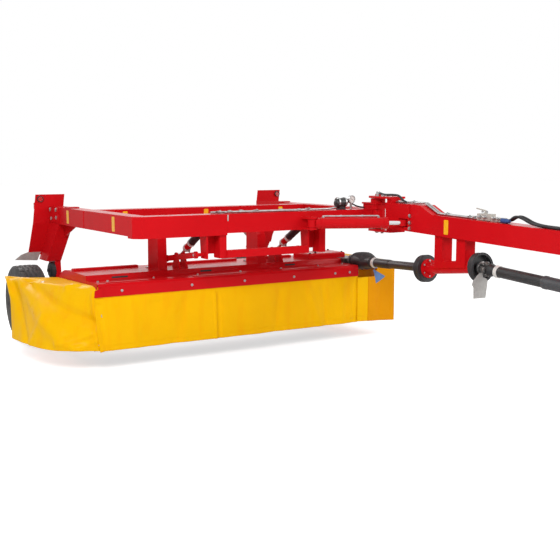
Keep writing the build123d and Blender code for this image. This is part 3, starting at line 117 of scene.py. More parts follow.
def group_tree(name, inputs, outputs):
    """Empty node group of float sockets, and its two end nodes."""
    tree = bpy.data.node_groups.new(name, "ShaderNodeTree")
    for label, value in inputs.items():
        made = tree.interface.new_socket(name=label, in_out="INPUT", socket_type="NodeSocketFloat")
        made.default_value = value
    for label in outputs:
        tree.interface.new_socket(name=label, in_out="OUTPUT", socket_type="NodeSocketFloat")
    return tree, tree.nodes.new("NodeGroupInput"), tree.nodes.new("NodeGroupOutput")


def math_node(tree, operation, *values):
    """Math node of links or numbers; gives its output."""
    node = tree.nodes.new("ShaderNodeMath")
    node.operation = operation
    for target, value in zip(node.inputs, values):
        put(tree, target, value)
    return node.outputs[0]


def spread(tree, value, low, high, start=0.0, end=1.0):
    """Value mapped from low..high to start..end, kept between them."""
    node = tree.nodes.new("ShaderNodeMapRange")
    labels = ("Value", "From Min", "From Max", "To Min", "To Max")
    for label, given in zip(labels, (value, low, high, start, end)):
        put(tree, node.inputs[label], given)
    return node.outputs["Result"]


def noise_node(tree, coords, scale, detail=4.0, rough=0.55, stretch=None):
    """Noise value over coords, with an optional stretch of the three directions."""
    if stretch is not None:
        mapping = tree.nodes.new("ShaderNodeMapping")
        mapping.inputs["Scale"].default_value = stretch
        tree.links.new(coords, mapping.inputs["Vector"])
        coords = mapping.outputs["Vector"]
    node = tree.nodes.new("ShaderNodeTexNoise")
    tree.links.new(coords, node.inputs["Vector"])
    for label, value in (("Scale", scale), ("Detail", detail), ("Roughness", rough)):
        put(tree, node.inputs[label], value)
    return node.outputs["Fac"]


def object_coords(tree):
    """Coordinates that keep to the object."""
    return tree.nodes.new("ShaderNodeTexCoord").outputs["Object"]


def height_of(tree, vector):
    """Upward part of a vector."""
    parts = tree.nodes.new("ShaderNodeSeparateXYZ")
    tree.links.new(vector, parts.inputs[0])
    return parts.outputs["Z"]


def edge_wear_group():
    """Mask of worn edges: where the rounded normal leaves the flat one, broken up by noise."""
    tree, start, end = group_tree("Edge wear", {"Radius": 0.004, "Amount": 0.5, "Scale": 30.0}, ["Mask"])
    flat_cosine, edge_cosine, blend = 0.985, 0.86, 0.08
    rounded = tree.nodes.new("ShaderNodeBevel")
    rounded.samples = 4
    tree.links.new(start.outputs["Radius"], rounded.inputs["Radius"])
    flat = tree.nodes.new("ShaderNodeNewGeometry")
    turn = tree.nodes.new("ShaderNodeVectorMath")
    turn.operation = "DOT_PRODUCT"
    tree.links.new(rounded.outputs["Normal"], turn.inputs[0])
    tree.links.new(flat.outputs["True Normal"], turn.inputs[1])
    edge = spread(tree, turn.outputs["Value"], flat_cosine, edge_cosine)
    broken = noise_node(tree, object_coords(tree), start.outputs["Scale"], 6.0, 0.7)
    limit = math_node(tree, "SUBTRACT", 1.0, start.outputs["Amount"])
    keep = spread(tree, broken, limit, math_node(tree, "ADD", limit, blend))
    tree.links.new(math_node(tree, "MULTIPLY", edge, keep), end.inputs["Mask"])


def dust_group():
    """Mask of dust: on faces that look up and near the ground, in soft patches."""
    tree, start, end = group_tree("Settled dust", {"Reach": 0.6, "Amount": 0.3, "Scale": 5.0}, ["Mask"])
    normal = tree.nodes.new("ShaderNodeNewGeometry").outputs["Normal"]
    coords = object_coords(tree)
    upward = spread(tree, height_of(tree, normal), 0.2, 1.0)
    low = spread(tree, height_of(tree, coords), start.outputs["Reach"], 0.0)
    patches = spread(tree, noise_node(tree, coords, start.outputs["Scale"], 8.0, 0.65), 0.35, 0.7)
    both = math_node(tree, "MAXIMUM", math_node(tree, "MULTIPLY", upward, 0.6), low)
    mask = math_node(tree, "MULTIPLY", both, patches)
    tree.links.new(math_node(tree, "MULTIPLY", mask, start.outputs["Amount"]), end.inputs["Mask"])


def weave_group():
    """Height and shade of a coated weave: two crossing sets of fine waves."""
    tree, start, end = group_tree("Coated weave", {"Threads": 220.0}, ["Height", "Shade"])
    coords = object_coords(tree)
    waves = []
    for direction in ("X", "Z"):
        wave = tree.nodes.new("ShaderNodeTexWave")
        wave.bands_direction = direction
        wave.inputs["Distortion"].default_value = 0.3
        tree.links.new(coords, wave.inputs["Vector"])
        tree.links.new(start.outputs["Threads"], wave.inputs["Scale"])
        waves.append(wave.outputs["Fac"])
    tree.links.new(math_node(tree, "MAXIMUM", *waves), end.inputs["Height"])
    tree.links.new(noise_node(tree, coords, 2.2, 5.0, 0.6), end.inputs["Shade"])


class Finish:
    """A material under construction: its node tree, shader and object coordinates."""

    def __init__(self, name, **constants):
        self.material = bpy.data.materials.new(name)
        self.material.use_nodes = True
        self.tree = self.material.node_tree
        self.tree.nodes.clear()
        self.shader = self.tree.nodes.new("ShaderNodeBsdfPrincipled")
        out = self.tree.nodes.new("ShaderNodeOutputMaterial")
        self.tree.links.new(self.shader.outputs["BSDF"], out.inputs["Surface"])
        self.coords = object_coords(self.tree)
        for label, value in constants.items():
            self.shader.inputs[label.replace("_", " ")].default_value = value

    def feed(self, label, value):
        """Link a value to one of the shader's sockets."""
        self.tree.links.new(value, self.shader.inputs[label])

    def noise(self, scale, detail=4.0, rough=0.55, stretch=None):
        """Noise over the object's own coordinates."""
        return noise_node(self.tree, self.coords, scale, detail, rough, stretch)

    def texture(self, kind, scale):
        """Wave or cell texture over the object's own coordinates; gives the node."""
        node = self.tree.nodes.new(kind)
        self.tree.links.new(self.coords, node.inputs["Vector"])
        node.inputs["Scale"].default_value = scale
        return node

    def mix(self, mask, first, second):
        """Colour between first and second by a mask."""
        node = self.tree.nodes.new("ShaderNodeMix")
        node.data_type = "RGBA"
        self.tree.links.new(mask, node.inputs["Factor"])
        for place, colour in ((6, first), (7, second)):
            if isinstance(colour, (tuple, list)):
                node.inputs[place].default_value = (*colour[:3], 1)
            else:
                self.tree.links.new(colour, node.inputs[place])
        return node.outputs[2]

    def tone(self, pattern, low, high, first, second):
        """Colour from first to second where a pattern goes from low to high."""
        return self.mix(spread(self.tree, pattern, low, high), first, second)

    def group(self, name, **values):
        """Place a node group with its own values; gives the node."""
        node = self.tree.nodes.new("ShaderNodeGroup")
        node.node_tree = bpy.data.node_groups[name]
        for label, value in values.items():
            node.inputs[label].default_value = value
        return node

    def dusty(self, body, colour, reach, amount, scale):
        """Body colour with dust settled on it."""
        mask = self.group("Settled dust", Reach=reach, Amount=amount, Scale=scale).outputs["Mask"]
        return self.mix(mask, body, colour)

    def worn(self, body, colour, radius, amount, scale):
        """Body colour with bare edges."""
        mask = self.group("Edge wear", Radius=radius, Amount=amount, Scale=scale).outputs["Mask"]
        return self.mix(mask, body, colour)

    def done(self, colour, pattern, low, high, smooth, coarse, *layers):
        """Feed the colour, a roughness from smooth to coarse by a pattern, and the bump layers."""
        self.feed("Base Color", colour)
        self.feed("Roughness", spread(self.tree, pattern, low, high, smooth, coarse))
        normal = None
        for height, strength, distance in layers:
            node = self.tree.nodes.new("ShaderNodeBump")
            node.inputs["Strength"].default_value = strength
            node.inputs["Distance"].default_value = distance
            self.tree.links.new(height, node.inputs["Height"])
            if normal is not None:
                self.tree.links.new(normal, node.inputs["Normal"])
            normal = node.outputs["Normal"]
        self.feed("Normal", normal)


def shade(colour, factor):
    """Colour made darker or lighter."""
    return tuple(min(1.0, part * factor) for part in colour[:3])


# Materials, each a function of its main colour
def gloss_paint(name, colour):
    """Gloss paint with a faint peel, a trace of dust and edges worn to the primer."""
    made = Finish(name, Coat_Weight=0.02, Coat_Roughness=0.08, Specular_IOR_Level=0.07)
    body = made.tone(made.noise(2.0, 3.0), 0.3, 0.7, shade(colour, 0.95), shade(colour, 1.04))
    dusty = made.dusty(body, (0.34, 0.12, 0.09), 0.25, 0.05, 7.0)
    worn = made.worn(dusty, (0.16, 0.02, 0.02), 0.0025, 0.36, 45.0)
    peel, waves = (made.noise(240.0, 2.0), 0.04, 0.001), (made.noise(10.0, 3.0), 0.05, 0.006)
    made.done(worn, made.noise(9.0, 6.0, 0.6), 0.3, 0.75, 0.16, 0.28, peel, waves)


def coated_canvas(name, colour):
    """Coated yellow curtain cloth, glossy, with a fine weave, darker orange streaks running down it and soft
    dents.
    """
    made = Finish(name, Specular_IOR_Level=0.06, Coat_Weight=0.02, Coat_Roughness=0.22)
    weave = made.group("Coated weave", Threads=170.0)
    body = made.mix(weave.outputs["Shade"], shade(colour, 0.86), shade(colour, 1.05))
    # Darker orange streaks running down the cloth, in patches of noise
    darker_streaks = spread(made.tree, made.noise(2.0, 5.0, 0.6, stretch=(6.0, 6.0, 1.2)), 0.50, 0.72, 0.0, 0.45)
    streaked = made.mix(darker_streaks, body, (colour[0] * 0.92, colour[1] * 0.72, 0.0))
    dusty = made.dusty(streaked, (0.60, 0.34, 0.03), 0.32, 0.07, 9.0)
    threads = (weave.outputs["Height"], 0.10, 0.0006)
    dents = (made.noise(5.0, 4.0, 0.55, stretch=(1.0, 1.0, 0.55)), 0.35, 0.020)
    creases = (made.noise(16.0, 5.0, 0.6), 0.15, 0.006)
    made.done(dusty, made.noise(7.0, 5.0), 0.3, 0.7, 0.26, 0.42, threads, dents, creases)


def rubber(name, colour, dust_reach, dust_amount):
    """Black rubber with a grey bloom and dirt."""
    made = Finish(name, Specular_IOR_Level=0.35)
    body = made.tone(made.noise(12.0, 6.0, 0.6), 0.35, 0.7, colour, shade(colour, 2.4))
    dusty = made.dusty(body, (0.22, 0.19, 0.15), dust_reach, dust_amount, 14.0)
    made.done(dusty, made.noise(30.0), 0.3, 0.7, 0.5, 0.75, (made.noise(180.0, 5.0, 0.65), 0.22, 0.0015))


def black_plastic(name):
    """Satin black guard tube plastic with fine scratches along it."""
    made = Finish(name, Specular_IOR_Level=0.5)
    scratch = made.noise(26.0, 6.0, 0.7, stretch=(4.0, 0.4, 4.0))
    body = made.tone(scratch, 0.5, 0.72, (0.016, 0.016, 0.018), (0.05, 0.05, 0.052))
    dusty = made.dusty(body, (0.20, 0.17, 0.14), 0.3, 0.4, 12.0)
    made.done(dusty, scratch, 0.3, 0.7, 0.32, 0.5, (scratch, 0.12, 0.001))


def zinc_steel(name):
    """Zinc plated steel with a faint cloudy passivation."""
    made = Finish(name, Metallic=0.9)
    cloud = made.noise(30.0, 5.0, 0.6)
    body = made.tone(cloud, 0.35, 0.7, (0.40, 0.40, 0.39), (0.56, 0.56, 0.57))
    made.done(body, cloud, 0.3, 0.7, 0.28, 0.42, (made.noise(220.0, 3.0), 0.08, 0.0006))


def worn_steel(name):
    """Dark worked steel with rust in patches and bright worn edges."""
    made = Finish(name, Metallic=0.75)
    rust = spread(made.tree, made.noise(11.0, 8.0, 0.7), 0.52, 0.68)
    body = made.tone(made.noise(40.0, 5.0), 0.3, 0.7, (0.12, 0.12, 0.125), (0.24, 0.235, 0.23))
    rusted = made.mix(rust, body, (0.16, 0.07, 0.03))
    bright = made.worn(rusted, (0.55, 0.54, 0.52), 0.004, 0.6, 30.0)
    made.done(bright, rust, 0.0, 1.0, 0.38, 0.75, (made.noise(120.0, 6.0, 0.7), 0.2, 0.0015))


def chrome(name):
    """Hard chrome of a ram's rod, with faint wiping rings."""
    made = Finish(name, Metallic=1.0)
    body = made.mix(made.noise(20.0), (0.78, 0.78, 0.80), (0.86, 0.86, 0.88))
    made.done(body, made.noise(60.0), 0.3, 0.7, 0.08, 0.16, (made.noise(300.0, 2.0), 0.02, 0.0003))


def lamp_glass(name, colour):
    """Ribbed lamp lens."""
    made = Finish(name, Coat_Weight=0.6, Coat_Roughness=0.05, Specular_IOR_Level=0.6)
    ribs = made.texture("ShaderNodeTexWave", 60.0)
    ribs.bands_direction = "Z"
    body = made.mix(ribs.outputs["Fac"], shade(colour, 0.7), shade(colour, 1.3))
    made.done(body, made.noise(30.0), 0.3, 0.7, 0.15, 0.25, (ribs.outputs["Fac"], 0.3, 0.002))


def reflector_tape(name, colour):
    """Reflective tape: a fine honeycomb under a clear skin."""
    made = Finish(name, Coat_Weight=0.5, Coat_Roughness=0.1)
    cells = made.texture("ShaderNodeTexVoronoi", 240.0)
    cells.feature = "DISTANCE_TO_EDGE"
    comb = spread(made.tree, cells.outputs["Distance"], 0.0, 0.12)
    body = made.mix(comb, shade(colour, 0.8), shade(colour, 1.05))
    made.done(body, made.noise(25.0), 0.3, 0.7, 0.25, 0.4, (comb, 0.1, 0.0005))


def plain_plate(name, colour, metallic=0.0):
    """Small painted or bare plate with handling marks."""
    made = Finish(name, Metallic=metallic)
    marks = made.noise(35.0, 6.0, 0.65)
    body = made.tone(marks, 0.35, 0.7, shade(colour, 0.85), shade(colour, 1.1))
    made.done(body, marks, 0.3, 0.7, 0.35, 0.55, (marks, 0.08, 0.001))


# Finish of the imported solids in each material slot
SOLID_FINISHES = {
    "red_paint": "Red paint", "yellow_canvas": "Yellow canvas", "tyre": "Tyre rubber", "wheel_rim": "Rim paint",
    "black_plastic": "Black plastic", "bare_steel": "Zinc plate", "dark_steel": "Worn steel",
    "chrome_rod": "Chrome", "lamp_red": "Lamp glass",
}
# Plain plates: finish, colour, how metallic
PLATES = (
    ("Cast valve", (0.52, 0.50, 0.45), 0.15), ("Bare tag", (0.45, 0.44, 0.42), 0.3),
    ("Blue tag", (0.10, 0.20, 0.42), 0.0), ("Blue cap", (0.02, 0.06, 0.22), 0.0),
    ("White collar", (0.72, 0.71, 0.68), 0.1), ("Grey plastic", (0.055, 0.055, 0.060), 0.0),
)
# Material slot of each finish that a fitting can have
SLOTS = {look: slot for slot, look in SOLID_FINISHES.items()}
SLOTS.update({
    "Shaded canvas": "yellow_canvas", "Yellow tape": "yellow_canvas", "Boot rubber": "black_plastic",
    "Grey plastic": "black_plastic", "White collar": "bare_steel", "Bare tag": "bare_steel",
    "Blue tag": "bare_steel", "Blue cap": "bare_steel",
})
# Box beams whose edges are rounded as the user asks, and plate work with finely broken edges
BEAMS = (
    "front_beam", "side_beam_right", "side_beam_left", "rear_crossbeam", "drawbar_beam", "wheel_leg_right",
    "wheel_leg_left", "hanger_cross_tube", "headstock",
)
PLATE_WORK = (
    "hanger_posts", "pivot_head", "deck_posts", "lower_links", "upper_links", "pto_hanger", "light_boards",
    "gearbox", "swing_rod", "lift_rods", "shaft_hook",
)


def finish(name):
    """Material by name, which the finishes operator has made."""
    made = bpy.data.materials.get(name)
    if made is None:
        raise RuntimeError(f"The finish {name} isn't there yet")
    return made


def looks():
    """The scene's mower values."""
    return bpy.context.scene.mower_looks


def linked(name, data, look):
    """Object of a mesh or curve with its finish, linked to the scene."""
    data.materials.append(finish(look))
    piece = bpy.data.objects.new(name, data)
    bpy.context.scene.collection.objects.link(piece)
    return piece


def ride(piece, body):
    """Tie a piece to a body."""
    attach(piece, body)
    return piece


def soften(piece, width, segments=2):
    """Round a piece's sharp edges."""
    rounding = piece.modifiers.new("Rounded edges", "BEVEL")
    rounding.width = width
    rounding.segments = segments
    rounding.limit_method = "ANGLE"
    rounding.angle_limit = math.radians(35)
    rounding.harden_normals = True


# Outlines of flat plates, and profiles of turned pieces as (distance along the axis, radius) pairs
def mm(*pairs):
    """Pairs of millimetres in metres."""
    return [(first / 1000, second / 1000) for first, second in pairs]


def oblong(left, low, right, high):
    """Four corners of an upright or flat plate."""
    return [(left, low), (right, low), (right, high), (left, high)]


def stepped(*steps, bore=0):
    """Cylinders on one another, each (height reached, radius), round a bore, in millimetres."""
    profile = [(0, bore)] if bore else []
    height = 0
    for reach, radius in steps:
        profile += [(height, radius), (reach, radius)]
        height = reach
    return mm(*profile, (height, bore))


def sleeve(bore, radius, length, chamfer):
    """Sleeve with chamfered ends, in millimetres."""
    return mm((0, bore), (chamfer, radius), (length - chamfer, radius), (length, bore))


def circle(middle, across, up, radius, sides):
    """Points round a middle in the plane of across and up."""
    turns = [2 * math.pi * step / sides for step in range(sides)]
    return [middle + radius * (across * math.cos(turn) + up * math.sin(turn)) for turn in turns]


def rounded_path(line, bend):
    """Path whose corners are replaced by short curves of about the bend's reach."""
    rounded = [line[0]]
    for before, corner, after in zip(line, line[1:], line[2:]):
        reach = min(bend, (corner - before).length * 0.45, (after - corner).length * 0.45)
        enter = corner + (before - corner).normalized() * reach
        leave = corner + (after - corner).normalized() * reach
        for step in range(7):
            share = step / 6
            rounded.append(enter.lerp(corner, share).lerp(corner.lerp(leave, share), share))
    return [*rounded, line[-1]]


class Shape:
    """Points and faces gathered from several solids before they become one mesh."""

    def __init__(self):
        self.points = []
        self.faces = []

    def add(self, points, faces):
        """Append points and the faces between them."""
        first = len(self.points)
        self.points += [Vector(point) for point in points]
        self.faces += [tuple(first + corner for corner in face) for face in faces]
        return self

    def skin(self, points, sides, start_cap, end_cap):
        """Append rings of points with faces between them and over the capped ends."""
        last = len(points) - sides
        faces = []
        for ring in range(0, last, sides):
            for step in range(sides):
                a, b = ring + step, ring + (step + 1) % sides
                faces.append((a, b, b + sides, a + sides))
        if start_cap:
            faces.append(tuple(range(sides))[::-1])
        if end_cap:
            faces.append(tuple(range(last, last + sides)))
        return self.add(points, faces)

    def turned(self, start, axis, profile, sides=32):
        """Turned solid, or a sleeve if both ends of the profile have a radius."""
        if len(profile) > 3 and profile[0][1] > 0 and profile[-1][1] > 0:
            profile = [*profile, profile[0]]
        axis = Vector(axis).normalized()
        across = axis.orthogonal().normalized()
        up = axis.cross(across)
        points = []
        for along, radius in profile:
            points += circle(Vector(start) + axis * along, across, up, radius, sides)
        solid = profile[0] != profile[-1]
        return self.skin(points, sides, solid and profile[0][1] > 0, solid and profile[-1][1] > 0)

    def prism(self, outline, origin, right, up, depth):
        """Flat outline in the plane of right and up, made solid along their cross product."""
        right = Vector(right).normalized()
        up = Vector(up).normalized()
        push = right.cross(up) * depth
        near = [Vector(origin) + right * a + up * b for a, b in outline]
        count = len(near)
        faces = [tuple(range(count))[::-1], tuple(range(count, 2 * count))]
        for corner in range(count):
            after = (corner + 1) % count
            faces.append((corner, after, after + count, corner + count))
        return self.add(near + [point + push for point in near], faces)

    def pipe(self, line, radius, bend=0.03, sides=12):
        """Round pipe along a path with rounded corners."""
        line = rounded_path(line, bend)
        across = (line[1] - line[0]).orthogonal().normalized()
        points = []
        for place, point in enumerate(line):
            ahead = (line[min(place + 1, len(line) - 1)] - line[max(place - 1, 0)]).normalized()
            across = (across - ahead * across.dot(ahead)).normalized()
            points += circle(point, across, ahead.cross(across), radius, sides)
        return self.skin(points, sides, True, True)

    def bolt(self, seat, outward, size):
        """Washer and hexagon head of a bolt whose shank radius is size, standing on its seat."""
        thick, wide, top = size * 0.3, size * 1.72, size * 1.55
        self.turned(seat, outward, [(0, 0), (0, size * 2.0), (thick, size * 2.0), (thick, 0)], 20)
        head = [(thick, 0), (thick, wide), (size * 1.35, wide), (top, size * 1.45), (top, 0)]
        return self.turned(seat, outward, head, 6)

    def make(self, name, look, body, bevel=0.0, sharp=40):
        """Mesh object of all that was added, riding on a body."""
        mesh = bpy.data.meshes.new(name)
        mesh.from_pydata(self.points, [], self.faces)
        mesh.validate()
        work = bmesh.new()
        work.from_mesh(mesh)
        bmesh.ops.remove_doubles(work, verts=work.verts, dist=1e-6)
        bmesh.ops.recalc_face_normals(work, faces=work.faces)
        work.to_mesh(mesh)
        work.free()
        for face in mesh.polygons:
            face.use_smooth = True
        mesh.set_sharp_from_angle(angle=math.radians(sharp))
        piece = linked(name, mesh, look)
        if bevel > 0:
            soften(piece, bevel)
        return ride(piece, body)


def smooth_line(points, share):
    """Point at a share of the way along a smooth line through the points."""
    points = [Vector(point) for point in points]
    lengths = [0.0]
    for before, after in zip(points, points[1:]):
        lengths.append(lengths[-1] + (after - before).length)
    goal = share * lengths[-1]
    part = 0
    while part < len(points) - 2 and lengths[part + 1] < goal:
        part += 1
    inner = (goal - lengths[part]) / (lengths[part + 1] - lengths[part])
    a, b, c = points[max(part - 1, 0)], points[part], points[part + 1]
    d = points[min(part + 2, len(points) - 1)]
    return b + 0.5 * inner * (c - a + inner * (2 * a - 5 * b + 4 * c - d + inner * (3 * (b - c) + d - a)))


# Curtain cloth: its thickness, the hem's rise and its blend
CLOTH = 0.0035
HEM_RISE, HEM_BLEND = 0.0022, 0.0012


class Curtain:
    """Hanging sheet: a smooth surface of two shares, with folds, a hem and eyelets laid on it."""

    def __init__(self, surface, width, height, folds, ripple, seed, hem=0.05, fade=0.0):
        depth = looks().fold_depth
        self.surface, self.width, self.height = surface, width, height
        self.folds = [(start, end, wide, high * depth) for start, end, wide, high in folds]
        self.ripple, self.seed, self.hem, self.fade = ripple, seed, hem, fade

    def lift(self, across, down):
        """How far the cloth stands off its surface at two shares."""
        rise = 0.0
        here = Vector((across * self.width, down * self.height))
        for start, end, wide, high in self.folds:
            first = Vector((start[0] * self.width, start[1] * self.height))
            line = Vector((end[0] * self.width, end[1] * self.height)) - first
            along = clamp((here - first).dot(line) / line.length_squared)
            off = (here - first - line * along).length
            rise += high * math.exp(-((off / wide) ** 2))
        wave = noise.noise(Vector((here.x * 3.1, here.y * 2.2, self.seed)))
        wave += 0.5 * noise.noise(Vector((here.x * 9.0, here.y * 5.0, self.seed + 7)))
        rise += wave * self.ripple * (0.4 + 0.6 * down)
        if self.fade > 0:
            rise *= clamp((down - self.fade) / self.fade)
        if self.hem > 0:
            rise += HEM_RISE / (1 + math.exp(((1 - down) * self.height - self.hem) / HEM_BLEND))
        return rise

    def place(self, across, down):
        """Point on the cloth and its outward direction."""
        small = 0.002
        point = self.surface(across, down)
        side = self.surface(min(across + small, 1), down) - self.surface(max(across - small, 0), down)
        fall = self.surface(across, min(down + small, 1)) - self.surface(across, max(down - small, 0))
        outward = side.cross(fall).normalized()
        return point + outward * self.lift(across, down), outward

    def make(self, name, look, columns, rows, replaced=None):
        """Sheet mesh on the head, hung from the deck."""
        shares = [(column / columns, row / rows) for row in range(rows + 1) for column in range(columns + 1)]
        corners = [row * (columns + 1) + column for row in range(rows) for column in range(columns)]
        faces = [(a, a + 1, a + columns + 2, a + columns + 1) for a in corners]
        mesh = bpy.data.meshes.new(name)
        mesh.from_pydata([self.place(*share)[0] for share in shares], [], faces)
        for face in mesh.polygons:
            face.use_smooth = True
        piece = linked(name, mesh, look)
        skin = piece.modifiers.new("Cloth thickness", "SOLIDIFY")
        skin.thickness = CLOTH
        skin.offset = 0
        ride(piece, "head")
        if replaced:
            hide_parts(replaced)

    def eyelets(self, name, places):
        """Pressed metal rings through the cloth at pairs of shares."""
        shape = Shape()
        for share in places:
            point, outward = self.place(*share)
            ring = mm((1.2, 9), (4.0, 10), (4.8, 13.5), (4.0, 17), (1.2, 18))
            shape.turned(point, outward, ring, 24)
        shape.make(name, "Zinc plate", "head")


# Values that a user may change
class MowerLooks(bpy.types.PropertyGroup):
    """Colours and small sizes of the mower's dressing."""

    paint: bpy.props.FloatVectorProperty(
        name="Paint", description="Colour of the painted frame and head", subtype="COLOR", size=3,
        min=0, max=1, default=(0.60, 0.006, 0.010),
    )
    canvas: bpy.props.FloatVectorProperty(
        name="Canvas", description="Colour of the safety curtains", subtype="COLOR", size=3,
        min=0, max=1, default=(1.0, 0.53, 0.0),
    )
    edge_round: bpy.props.FloatProperty(
        name="Tube edge radius", description="Outside radius of the box beams' edges", unit="LENGTH",
        min=0.001, max=0.02, default=0.008,
    )
    tread_depth: bpy.props.FloatProperty(
        name="Tread depth", description="Depth of the tyre's grooves", unit="LENGTH",
        min=0.002, max=0.02, default=0.010,
    )
    bolt_size: bpy.props.FloatProperty(
        name="Bolt radius", description="Shank radius of the frame's main bolts", unit="LENGTH",
        min=0.004, max=0.02, default=0.010,
    )
    fold_depth: bpy.props.FloatProperty(
        name="Fold depth", description="How much of its modelled depth each curtain fold has",
        subtype="FACTOR", min=0, max=2, default=1.0,
    )


class StudioLooks(bpy.types.PropertyGroup):
    """Light and camera of the studio."""

    key: bpy.props.FloatProperty(
        name="Key light", description="Strength of the main soft light", unit="POWER", min=0, default=330.0,
    )
    fill: bpy.props.FloatProperty(
        name="Sky light", description="Strength of the even light all round", min=0, default=0.50,
    )
    lens: bpy.props.FloatProperty(
        name="Lens", description="Focal length on a 36 mm sensor, in millimetres", min=10, default=57.953,
    )


class MOWER_OT_finishes(bpy.types.Operator):
    """Build the node groups and materials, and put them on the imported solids"""

    bl_idname = "mower.finishes"
    bl_label = "Finishes"

    def execute(self, context):
        values = looks()
        edge_wear_group()
        dust_group()
        weave_group()
        gloss_paint("Red paint", values.paint)
        gloss_paint("Rim paint", (0.62, 0.62, 0.60))
        coated_canvas("Yellow canvas", values.canvas)
        # A more orange copy of the canvas for the left curtain's front panel: painted shade of a face turned from
        # the light
        coated_canvas("Shaded canvas", (0.84, 0.335, 0.001))
        rubber("Tyre rubber", (0.030, 0.029, 0.030), dust_reach=0.9, dust_amount=0.45)
        rubber("Boot rubber", (0.016, 0.016, 0.018), dust_reach=0.2, dust_amount=0.25)
        black_plastic("Black plastic")
        zinc_steel("Zinc plate")
        worn_steel("Worn steel")
        chrome("Chrome")
        lamp_glass("Lamp glass", (0.5, 0.01, 0.01))
        reflector_tape("Yellow tape", (1.0, 0.48, 0.0))
        for name, colour, metallic in PLATES:
            plain_plate(name, colour, metallic)
        slots = {row["node"]: row["material_slot"] for row in frame["record"]["subparts"]}
        for node, solid in frame["nodes"].items():
            solid.data.materials.clear()
            solid.data.materials.append(finish(SOLID_FINISHES[slots[node]]))
        frame["nodes"]["valve_block"].data.materials[0] = finish("Cast valve")
        for node in BEAMS:
            soften(frame["nodes"][node], values.edge_round, 3)
        for node in PLATE_WORK:
            soften(frame["nodes"][node], 0.002)
        return {"FINISHED"}


# Right curtain, counted from the head's front corner: distance off the head, y, z
SIDE_TOP_IN = [(-0.012, 0.022, 0.740), (0.002, 0.30, 0.738), (0.002, 0.98, 0.72), (0.002, 1.14, 0.71)]
SIDE_TOP_OUT = [(-0.020, 0.021, 0.702), (0.142, 0.46, 0.712), (0.300, 0.98, 0.708), (0.412, 1.39, 0.700)]
SIDE_LOW = [(-0.036, 0.021, 0.184), (0.300, 0.28, 0.176), (0.432, 0.66, 0.180), (0.466, 1.01, 0.186)]
TOP_SHARE = 0.20
REAR_HANG = 0.55
SIDE_BELLY = 0.035

# Folds: start and end as shares across and down, then width and height in metres
SIDE_FOLDS = [
    ((0.72, 0.22), (0.02, 0.66), 0.050, -0.034),
    ((0.78, 0.26), (0.20, 1.00), 0.075, 0.034),
    ((0.66, 0.22), (0.42, 0.62), 0.040, 0.018),
    ((0.90, 0.30), (0.72, 0.95), 0.060, -0.020),
    ((0.965, 0.24), (0.95, 0.36), 0.060, 0.030),
    ((0.10, 0.78), (0.34, 0.93), 0.030, 0.016),
    ((0.46, 0.62), (0.66, 0.98), 0.040, 0.012),
    ((0.03, 0.86), (0.22, 0.97), 0.026, 0.012),
    ((0.26, 0.12), (0.30, 0.21), 0.035, 0.022),
    ((0.08, 0.25), (0.05, 0.98), 0.030, 0.014),
]
FRONT_FOLDS = [
    ((0.006, 0.25), (0.020, 1.0), 0.024, 0.012),
    ((0.115, 0.20), (0.13, 1.0), 0.050, -0.010),
    ((0.20, 0.30), (0.245, 0.95), 0.090, 0.010),
    ((0.30, 0.20), (0.262, 1.0), 0.060, 0.009),
    ((0.405, 0.20), (0.41, 1.0), 0.016, -0.010),
    ((0.42, 0.20), (0.425, 1.0), 0.022, 0.010),
    ((0.52, 0.2), (0.57, 1.0), 0.080, -0.010),
    ((0.66, 0.20), (0.645, 1.0), 0.050, 0.010),
    ((0.775, 0.2), (0.83, 0.95), 0.040, -0.012),
    ((0.84, 0.20), (0.86, 1.0), 0.030, 0.010),
    ((0.93, 0.20), (0.925, 1.0), 0.045, -0.009),
    ((0.985, 0.22), (0.98, 1.0), 0.030, 0.008),
]
LEFT_SIDE_FOLDS = [((0.3, 0), (0.32, 1), 0.05, 0.010), ((0.7, 0), (0.68, 1), 0.06, -0.010)]
LEFT_FRONT_FOLDS = [((0.50, 0), (0.44, 1), 0.05, 0.006), ((0.85, 0), (0.92, 1), 0.03, -0.006)]


def side_surface(across, down):
    """Right curtain: a flat top from the head to the rail, then the flared face below it."""
    lines = [smooth_line(rows, across) for rows in (SIDE_TOP_IN, SIDE_TOP_OUT, SIDE_LOW)]
    inner, outer, low = (at(-HALF_HEAD - off, y, z) for off, y, z in lines)
    if down < TOP_SHARE:
        return inner.lerp(outer, down / TOP_SHARE)
    share = (down - TOP_SHARE) / (1 - TOP_SHARE)
    point = outer.lerp(low, share)
    point.y = outer.y + (low.y - outer.y) * share ** (1 - REAR_HANG * across)
    point.x -= SIDE_BELLY * math.sin(math.pi * share) * math.sin(math.pi * min(1, across * 1.2))
    return point


class MOWER_OT_curtain_right(bpy.types.Operator):
    """Drape the flared right curtain"""

    bl_idname = "mower.curtain_right"
    bl_label = "Right curtain"

    def execute(self, context):
        curtain = Curtain(side_surface, 1.50, 0.66, SIDE_FOLDS, ripple=0.010, seed=3.0)
        curtain.make("Curtain_right_cloth", "Yellow canvas", 180, 90, "curtain_right")
        places = [(0.035, 0.42), (0.035, 0.9), (0.30, 0.15), (0.62, 0.16), (0.90, 0.16)]
        curtain.eyelets("Curtain_right_eyelets", places)
        return {"FINISHED"}


# Front curtain: its upper edge, its drop from there to the hem, and what it leaves bare of the head's width
FRONT_TOP, FRONT_DROP = 0.725, 0.546
FRONT_GAP = 0.004


